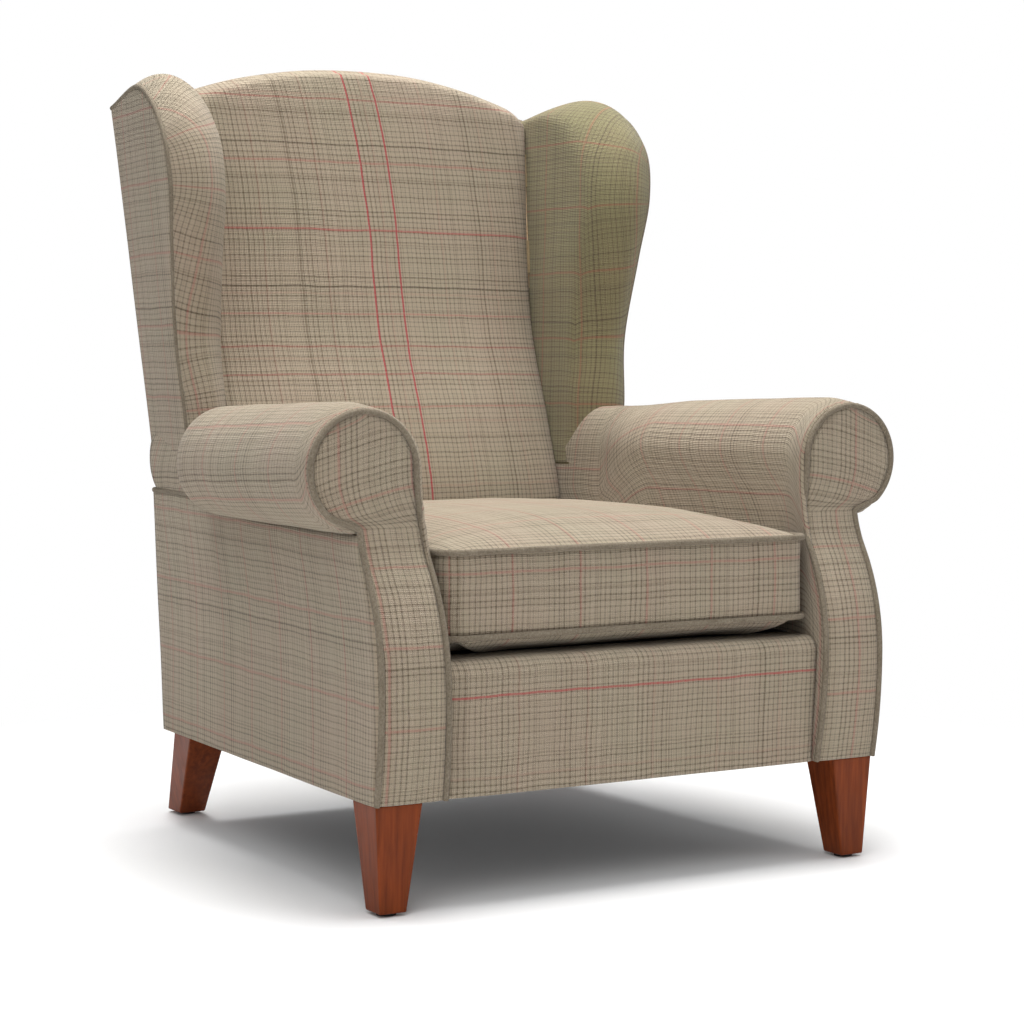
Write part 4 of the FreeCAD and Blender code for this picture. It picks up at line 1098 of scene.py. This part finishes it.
def wing_piping_line():
    """From the rear along the arm's outside seam, then up the wing's edge and over its top."""
    edge = wing_edge_line(150)
    inset = WING_PIPING_INSET
    line = [Vector((wing_x(point.y, point.z) - inset, point.y, point.z)) - out * inset
            for point, out in zip(edge, ways_out(edge))]
    corner_y = line[0].y
    down = [Vector((wing_x(corner_y, SEAM_Z), corner_y, SEAM_Z))]
    seam = [Vector((outer_x(y) - 0.002, y, SEAM_Z)) for y in (rear_y(SEAM_Z) - 0.001, 0.303, 0.263, 0.223)]
    return seam + down + line


class BuildWings(bpy.types.Operator):
    """Inside wings with their rolls, outside wings and the piping between them"""

    bl_idname = "armchair.wings"
    bl_label = "Wings"

    def execute(self, context):
        sizes = context.scene.chair_sizes
        rows, flat = wing_rows()
        panel = swell(outside_wing_rows(), Vector((1, 0, 0)), sizes.panel_puff)
        flat_panel = [[(point.y, point.z) for point in row] for row in panel]
        line = wing_piping_line()
        for side, way in SIDES:
            seed = 7 + way
            inside = cloth_patch("inside_wing_" + side, on_side(rows, way), Vector((-way, -0.5, 0)), lay=flat,
                                 start=(0.011 * way, 0.018), soften=20)
            # The right inside wing gets the tweed copy with the painted shade; the left one gets the plain
            # tweed.
            upholster(inside, "tweed_olive" if way > 0 else "tweed",
                      ["inside_wing_cover_" + side, "wing_pad_" + side], (0.0012, 0.08, seed))
            outside = cloth_patch("outside_wing_" + side, on_side(panel, way), Vector((way, 0, 0)),
                                  lay=flat_panel, start=(0.031 * way, 0.004))
            upholster(outside, "tweed", ["outside_wing_cover_" + side], (0.0006, 0.1, seed), layers=1)
            piping = tube("wing_piping_" + side, on_side([line], way)[0], sizes.piping)
            dress(piping, "piping", ["wing_piping"])
        return {"FINISHED"}


# Front border, deck, outside back and dust cover

def border_rows():
    """From the hem up the front, over the lip and back under the cushion."""
    radius = BORDER_LIP
    lip_z = DECK_Z - radius
    toe = math.tan(BORDER_LEAN)
    shoulder_y = FRONT_Y - toe * (lip_z - LEG_HEIGHT)
    section = [Vector((0, FRONT_Y, LEG_HEIGHT)), Vector((0, shoulder_y, lip_z))]
    for step in range(1, 9):
        angle = math.pi / 2 * step / 8
        back_y = shoulder_y + radius * (1 - math.cos(angle))
        section.append(Vector((0, back_y, lip_z + radius * math.sin(angle))))
    section.append(Vector((0, FRONT_Y + BORDER_RETURN, DECK_Z)))
    across = steps_for(SEAT_WIDTH)
    rows = []
    for point in evenly(section, steps_for(BORDER_GIRTH) + 1):
        half = inner_x(point.z) - 0.0004
        row = []
        for index in range(across + 1):
            share = index / across * 2 - 1
            edge = (1 - abs(share)) * half
            dip = 0.004 * math.exp(-edge / 0.010)
            row.append(Vector((share * half, point.y + dip, point.z - (0.3 * dip if point.z > lip_z else 0))))
        rows.append(row)
    return rows


def deck_rows(low, high):
    """The deck cloth, sagging a little in its middle."""
    half = inner_x(high.z) - EDGE_GAP

    def place(back, across):
        side = across * 2 - 1
        end = back * 2 - 1
        dip = 0.006 * (1 - side ** 2) * (1 - end ** 2)
        return Vector((side * half, lerp(low.y, high.y, back), high.z - dip))

    return grid_rows(steps_for(high.y - low.y), steps_for(high.x - low.x), place)


class BuildBorder(bpy.types.Operator):
    """Padded front border and the deck cloth behind it"""

    bl_idname = "armchair.border"
    bl_label = "Front border and deck"

    def execute(self, context):
        border = cloth_patch("front_border", border_rows(), Vector((0, -1, 0.3)), start=(0.006, 0.0))
        upholster(border, "tweed_border", ["front_border_cover", "front_border_pad"], (0.0012, 0.10, 11))
        low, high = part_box("deck_cloth")
        deck = cloth_patch("deck_cloth_pulled", deck_rows(low, high), Vector((0, 0, 1)))
        thicken(deck, context.scene.chair_sizes.cloth)
        dress(deck, "lining", ["deck_cloth", "deck_pad"])
        return {"FINISHED"}


def outside_back_rows():
    """The leaning rear panel under the arched crest."""
    corner_x = wing_x(rear_y(WING_CORNER_Z), WING_CORNER_Z)
    crest_half = inner_x(CREST_Z)

    def half_at(z):
        if z < SEAM_Z:
            return outer_x(rear_y(z))
        return max(wing_x(rear_y(z), z), 0.0)

    def top_at(x):
        if abs(x) <= crest_half:
            return crest_z(x)
        share = (abs(x) - crest_half) / (corner_x - crest_half)
        return lerp(crest_z(crest_half), WING_CORNER_Z, share)

    def place(up, across):
        side = across * 2 - 1
        x = side * (half_at(lerp(LEG_HEIGHT, WING_CORNER_Z, up)) - 0.001)
        z = lerp(LEG_HEIGHT, top_at(side * corner_x) - 0.001, up)
        return Vector((x, rear_y(z) - REAR_GAP, z))

    return grid_rows(steps_for(OUTSIDE_BACK_HEIGHT), steps_for(OUTSIDE_BACK_WIDTH), place)


def dust_cover_rows(low, high):
    """The lining under the seat, slack in its middle and gathered at its tacks."""
    def place(back, across):
        y = lerp(low.y, high.y, back)
        side = across * 2 - 1
        end = back * 2 - 1
        slack = 0.004 * (1 - side ** 2) * (1 - end ** 2)
        gather = 0.0006 * math.sin(side * 60) * (1 - abs(end)) ** 0.5
        return Vector((side * (outer_x(y) - 0.0025), y, high.z - slack - abs(gather)))

    return grid_rows(steps_for(high.y - low.y) // 2, steps_for(high.x - low.x) // 2, place)


class BuildOutsideBack(bpy.types.Operator):
    """Outside back panel and the dust cover under the seat"""

    bl_idname = "armchair.outside_back"
    bl_label = "Outside back and dust cover"

    def execute(self, context):
        rows = swell(outside_back_rows(), -FORWARD, context.scene.chair_sizes.panel_puff)
        panel = cloth_patch("outside_back", rows, -FORWARD, start=(0.02, 0.01))
        upholster(panel, "tweed", ["outside_back_cover"], (0.0008, 0.14, 5), layers=1)
        low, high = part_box("dust_cover")
        cover = cloth_patch("dust_cover_pulled", dust_cover_rows(low, high), Vector((0, 0, -1)))
        thicken(cover, LINING)
        dress(cover, "lining", ["dust_cover"])
        return {"FINISHED"}


# Seat cushion

CUSHION_LOW, CUSHION_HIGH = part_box("cushion_boxing")
CUSHION_MIDDLE = (CUSHION_LOW + CUSHION_HIGH) / 2
CUSHION_HALF = (CUSHION_HIGH - CUSHION_LOW) / 2
CUSHION_CORNER = 0.030
CUSHION_DRAW = 0.005
CORD_OFFSET = 0.0043
SEAM_LOW = CUSHION_LOW.z - CORD_OFFSET
SEAM_HIGH = CUSHION_HIGH.z + CORD_OFFSET
PANEL_CUTS = 63
BOXING_CUTS = 11
SEAM_STEPS = 80


def rounded_place(a, b, out=0.0):
    """Where a point of the square -1..1 lies on the cushion, with round corners and drawn-in sides."""
    ring = max(abs(a), abs(b))
    half_x = CUSHION_HALF.x + out
    half_y = CUSHION_HALF.y + out
    x = a * half_x
    y = b * half_y
    near_x = clamp(x, -(half_x - CUSHION_CORNER) * ring, (half_x - CUSHION_CORNER) * ring)
    near_y = clamp(y, -(half_y - CUSHION_CORNER) * ring, (half_y - CUSHION_CORNER) * ring)
    away = Vector((x - near_x, y - near_y))
    if away.x and away.y:
        away = away.normalized() * CUSHION_CORNER * ring
    x = near_x + away.x
    y = near_y + away.y
    x -= math.copysign(CUSHION_DRAW * ring * (1 - b * b) * smooth_share(0.6, 1.0, abs(a)), a)
    if b < 0:
        y += CUSHION_DRAW * ring * (1 - a * a) * smooth_share(0.6, 1.0, -b)
    return x, y + CUSHION_MIDDLE.y


def cushion_point(a, b, c, sizes):
    """Place of a point of the cube -1..1 on the cushion."""
    x, y = rounded_place(a, b)
    if abs(c) < 1 - TINY:
        z = lerp(SEAM_LOW, SEAM_HIGH, (c + 1) / 2)
    elif c > 0:
        dome = max((1 - a ** 4) * (1 - b ** 4), 0.0) ** 0.6
        dome = lerp(dome, (1 - a * a) * (1 - b * b), 0.3)
        z = SEAM_HIGH + sizes.cushion_crown * dome
    else:
        z = SEAM_LOW - sizes.cushion_sag * max((1 - a ** 24) * (1 - b ** 24), 0.0) ** 0.5
    return Vector((x, y, z))


def cushion_mesh(sizes):
    """Closed cushion: a cube cut into a grid and shaped, with UVs as three flat cuts of cloth."""
    bm = bmesh.new()
    bmesh.ops.create_cube(bm, size=2.0)
    upright = [edge for edge in bm.edges if abs(edge.verts[0].co.z - edge.verts[1].co.z) > 1]
    level = [edge for edge in bm.edges if edge not in upright]
    bmesh.ops.subdivide_edges(bm, edges=level, cuts=PANEL_CUTS, use_grid_fill=True)
    upright = [edge for edge in bm.edges if abs(edge.verts[0].co.z - edge.verts[1].co.z) > 1]
    bmesh.ops.subdivide_edges(bm, edges=upright, cuts=BOXING_CUTS, use_grid_fill=True)
    seams = set()
    for vertex in bm.verts:
        a, b, c = vertex.co
        if abs(c) > 1 - 1e-6 and max(abs(a), abs(b)) > 1 - 1e-6:
            seams.add(vertex.index)
    kinds = {}
    for face in bm.faces:
        normal = face.normal
        kinds[face] = 2 if abs(normal.z) > 0.5 else (1 if abs(normal.y) > 0.5 else 0)
    for vertex in bm.verts:
        vertex.co = cushion_point(*vertex.co, sizes)
    layer = bm.loops.layers.uv.new(WEAVE)
    for face in bm.faces:
        for loop in face.loops:
            x, y, z = loop.vert.co
            across = y if kinds[face] == 0 else x
            loop[layer].uv = (across + 0.004, y + 0.021 if kinds[face] == 2 else z + 0.012)
    return new_object("cushion", bm), seams


def cushion_seam(z, out):
    """The line of one piping round the cushion."""
    points = []
    for a0, b0, a1, b1 in ((-1, -1, 1, -1), (1, -1, 1, 1), (1, 1, -1, 1), (-1, 1, -1, -1)):
        for step in range(SEAM_STEPS):
            share = step / SEAM_STEPS
            points.append(Vector((*rounded_place(lerp(a0, a1, share), lerp(b0, b1, share), out), z)))
    return points


class BuildCushion(bpy.types.Operator):
    """Loose boxed seat cushion with piped edges"""

    bl_idname = "armchair.cushion"
    bl_label = "Seat cushion"

    def execute(self, context):
        sizes = context.scene.chair_sizes
        cushion, seams = cushion_mesh(sizes)
        puff_up(cushion, 2.5, 0.016, sorted(seams))
        for vertex in cushion.data.vertices:
            vertex.co.z = max(vertex.co.z, DECK_Z + EDGE_GAP)
        rough_up(cushion, 0.0012, 0.09, 3)
        finer = cushion.modifiers.new("Finer", "SUBSURF")
        finer.levels = 1
        finer.render_levels = 1
        dress(cushion, "tweed",
              ["cushion_core", "cushion_top_panel", "cushion_bottom_panel", "cushion_boxing"], CUSHION)
        cords = [tube("cushion_cord", cushion_seam(z, 0.0016), sizes.piping, closed=True)
                 for z in (SEAM_LOW, SEAM_HIGH)]
        piping = joined(cords, "cushion_piping_cords")
        dress(piping, "piping", ["cushion_piping"], CUSHION)
        return {"FINISHED"}


# Legs, frame and hidden parts

def shaped_leg(name, node):
    """A tapered leg with eased edges, as large as the solid that it stands for."""
    solid = frame["nodes"][node]
    low_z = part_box(node)[0].z
    high_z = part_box(node)[1].z
    rings = []
    for z in (low_z, high_z):
        found = [vertex.co for vertex in solid.data.vertices if abs(vertex.co.z - z) < 1e-4]
        xs = [point.x for point in found]
        ys = [point.y for point in found]
        rings.append((min(xs), max(xs), min(ys), max(ys)))
    bm = bmesh.new()
    bmesh.ops.create_cube(bm, size=2.0)
    for vertex in bm.verts:
        x0, x1, y0, y1 = rings[1 if vertex.co.z > 0 else 0]
        vertex.co = Vector((x1 if vertex.co.x > 0 else x0, y1 if vertex.co.y > 0 else y0,
                            high_z if vertex.co.z > 0 else low_z))
    bmesh.ops.bevel(bm, geom=bm.edges[:], offset=0.0022, offset_type="OFFSET", segments=3, profile=0.5,
                    affect="EDGES", material=-1)
    leg = new_object(name, bm)
    for polygon in leg.data.polygons:
        polygon.use_smooth = polygon.area < 0.0005
    return leg


class BuildLegs(bpy.types.Operator):
    """Two tapered front legs and two raked rear legs"""

    bl_idname = "armchair.legs"
    bl_label = "Legs"

    def execute(self, context):
        for place in ("front", "rear"):
            for side in ("left", "right"):
                node = "leg_%s_%s" % (place, side)
                dress(shaped_leg("wood_" + node, node), "leg_wood", [node])
        return {"FINISHED"}


class FinishFrame(bpy.types.Operator):
    """Materials of the frame, springs, fixings and zip that stay as they were built"""

    bl_idname = "armchair.frame"
    bl_label = "Frame and fixings"

    def execute(self, context):
        for part in frame["record"]["subparts"]:
            solid = frame["nodes"][part["node"]]
            material = bpy.data.materials[FINISH + part["material_slot"]]
            solid.data.materials.clear()
            solid.data.materials.append(material)
        return {"FINISHED"}


# Studio

def area_light(name, place, aim, size, power):
    data = bpy.data.lights.new(name, "AREA")
    data.shape = "RECTANGLE"
    data.size = size[0]
    data.size_y = size[1]
    data.energy = power
    light = bpy.data.objects.new(name, data)
    light.location = place
    light.rotation_euler = (Vector(aim) - Vector(place)).to_track_quat("-Z", "Y").to_euler()
    bpy.context.scene.collection.objects.link(light)


CAMERA_PLACE = Vector((-1.7027, -2.9300, 0.6584))
CAMERA_YAW = math.radians(30.865)
CAMERA_PITCH = math.radians(3.544)
CAMERA_LENS = 86.88

# Lights: name, place, aim, size and power
LIGHTS = (
    ("key", (-2.0, -2.1, 2.9), (0.0, 0.0, 0.55), (2.2, 2.2), 44),
    ("top", (0.1, 0.1, 3.4), (0.0, 0.0, 0.4), (2.4, 2.0), 178),
    ("fill", (2.6, -2.4, 1.5), (0.0, 0.0, 0.5), (2.0, 2.0), 8),
)
AMBIENT = 0.30
FLOOR_HALF = 14.0
FLOOR_GLOW = 0.03
WHITE_FROM = 0.62
WHITE_BEYOND = 1.35


def seen_white(made, strength, near, far):
    """Lets the camera see a pale floor as white: a little near the chair, wholly far away."""
    path = made.node("LightPath")
    seen = path.outputs["Is Camera Ray"]
    glow = made.node("Emission")
    made.feed(glow.inputs["Strength"], made.times(seen, strength))
    both = made.node("AddShader")
    made.feed(both.inputs[0], made.shader.outputs[0])
    made.feed(both.inputs[1], glow.outputs[0])
    away = made.node("VectorMath", operation="LENGTH")
    made.feed(away.inputs[0], made.object_place())
    share = made.times(seen, made.spread(away.outputs["Value"], near, far))
    white = made.node("Emission")
    blend = made.node("MixShader")
    made.feed(blend.inputs[0], share)
    made.feed(blend.inputs[1], both.outputs[0])
    made.feed(blend.inputs[2], white.outputs[0])
    made.feed(made.tree.nodes["Material Output"].inputs["Surface"], blend.outputs[0])


class BuildStudio(bpy.types.Operator):
    """Pale floor, soft lights and the camera"""

    bl_idname = "armchair.studio"
    bl_label = "Studio"

    def execute(self, context):
        scene = context.scene
        bm = bmesh.new()
        bmesh.ops.create_grid(bm, x_segments=1, y_segments=1, size=FLOOR_HALF)
        floor = new_object("floor", bm)
        made = Finish("floor")
        made.surface((0.92, 0.92, 0.92, 1), 0.9, Specular_IOR_Level=0.1)
        seen_white(made, FLOOR_GLOW, WHITE_FROM, WHITE_BEYOND)
        floor.data.materials.append(made.material)
        world = bpy.data.worlds.new("studio")
        world.use_nodes = True
        tree = world.node_tree
        back = tree.nodes["Background"]
        back.inputs["Color"].default_value = (1, 1, 1, 1)
        path = tree.nodes.new("ShaderNodeLightPath")
        strength = tree.nodes.new("ShaderNodeMapRange")
        tree.links.new(path.outputs["Is Camera Ray"], strength.inputs["Value"])
        strength.inputs["To Min"].default_value = AMBIENT
        strength.inputs["To Max"].default_value = 1.0
        tree.links.new(strength.outputs[0], back.inputs["Strength"])
        scene.world = world
        for light in LIGHTS:
            area_light(*light)
        camera = bpy.data.objects.new("camera", bpy.data.cameras.new("camera"))
        camera.data.lens = CAMERA_LENS
        camera.data.sensor_width = 36.0
        camera.location = CAMERA_PLACE
        look = Vector((math.sin(CAMERA_YAW) * math.cos(CAMERA_PITCH),
                       math.cos(CAMERA_YAW) * math.cos(CAMERA_PITCH), -math.sin(CAMERA_PITCH)))
        camera.rotation_euler = look.to_track_quat("-Z", "Y").to_euler()
        scene.collection.objects.link(camera)
        scene.camera = camera
        scene.view_settings.view_transform = "Standard"
        return {"FINISHED"}


class ArmchairPanel(bpy.types.Panel):
    """The armchair's steps and sizes, in the 3D view's sidebar"""

    bl_idname = "VIEW3D_PT_armchair"
    bl_label = "Wing armchair"
    bl_space_type = "VIEW_3D"
    bl_region_type = "UI"
    bl_category = "Armchair"

    def draw(self, context):
        for group in (context.scene.chair_sizes, context.scene.chair_colours):
            for name in group.__annotations__:
                self.layout.prop(group, name)
        for operator in OPERATORS:
            self.layout.operator(operator.bl_idname)


OPERATORS = (
    BuildStudio, FinishFrame, BuildInsideBack, BuildArms, BuildWings, BuildBorder, BuildOutsideBack,
    BuildCushion, BuildLegs,
)
CLASSES = (ChairSizes, ChairColours, ArmchairPanel) + OPERATORS


def register():
    for kind in CLASSES:
        bpy.utils.register_class(kind)
    bpy.types.Scene.chair_sizes = PointerProperty(type=ChairSizes)
    bpy.types.Scene.chair_colours = PointerProperty(type=ChairColours)


def unregister():
    del bpy.types.Scene.chair_colours
    del bpy.types.Scene.chair_sizes
    for kind in reversed(CLASSES):
        bpy.utils.unregister_class(kind)


def main():
    register()
    make_materials()
    bpy.ops.armchair.studio()
    bpy.ops.armchair.frame()
    bpy.ops.armchair.inside_back()
    bpy.ops.armchair.arms()
    bpy.ops.armchair.wings()
    bpy.ops.armchair.border()
    bpy.ops.armchair.outside_back()
    bpy.ops.armchair.cushion()
    bpy.ops.armchair.legs()


if __name__ == "__main__":
    main()
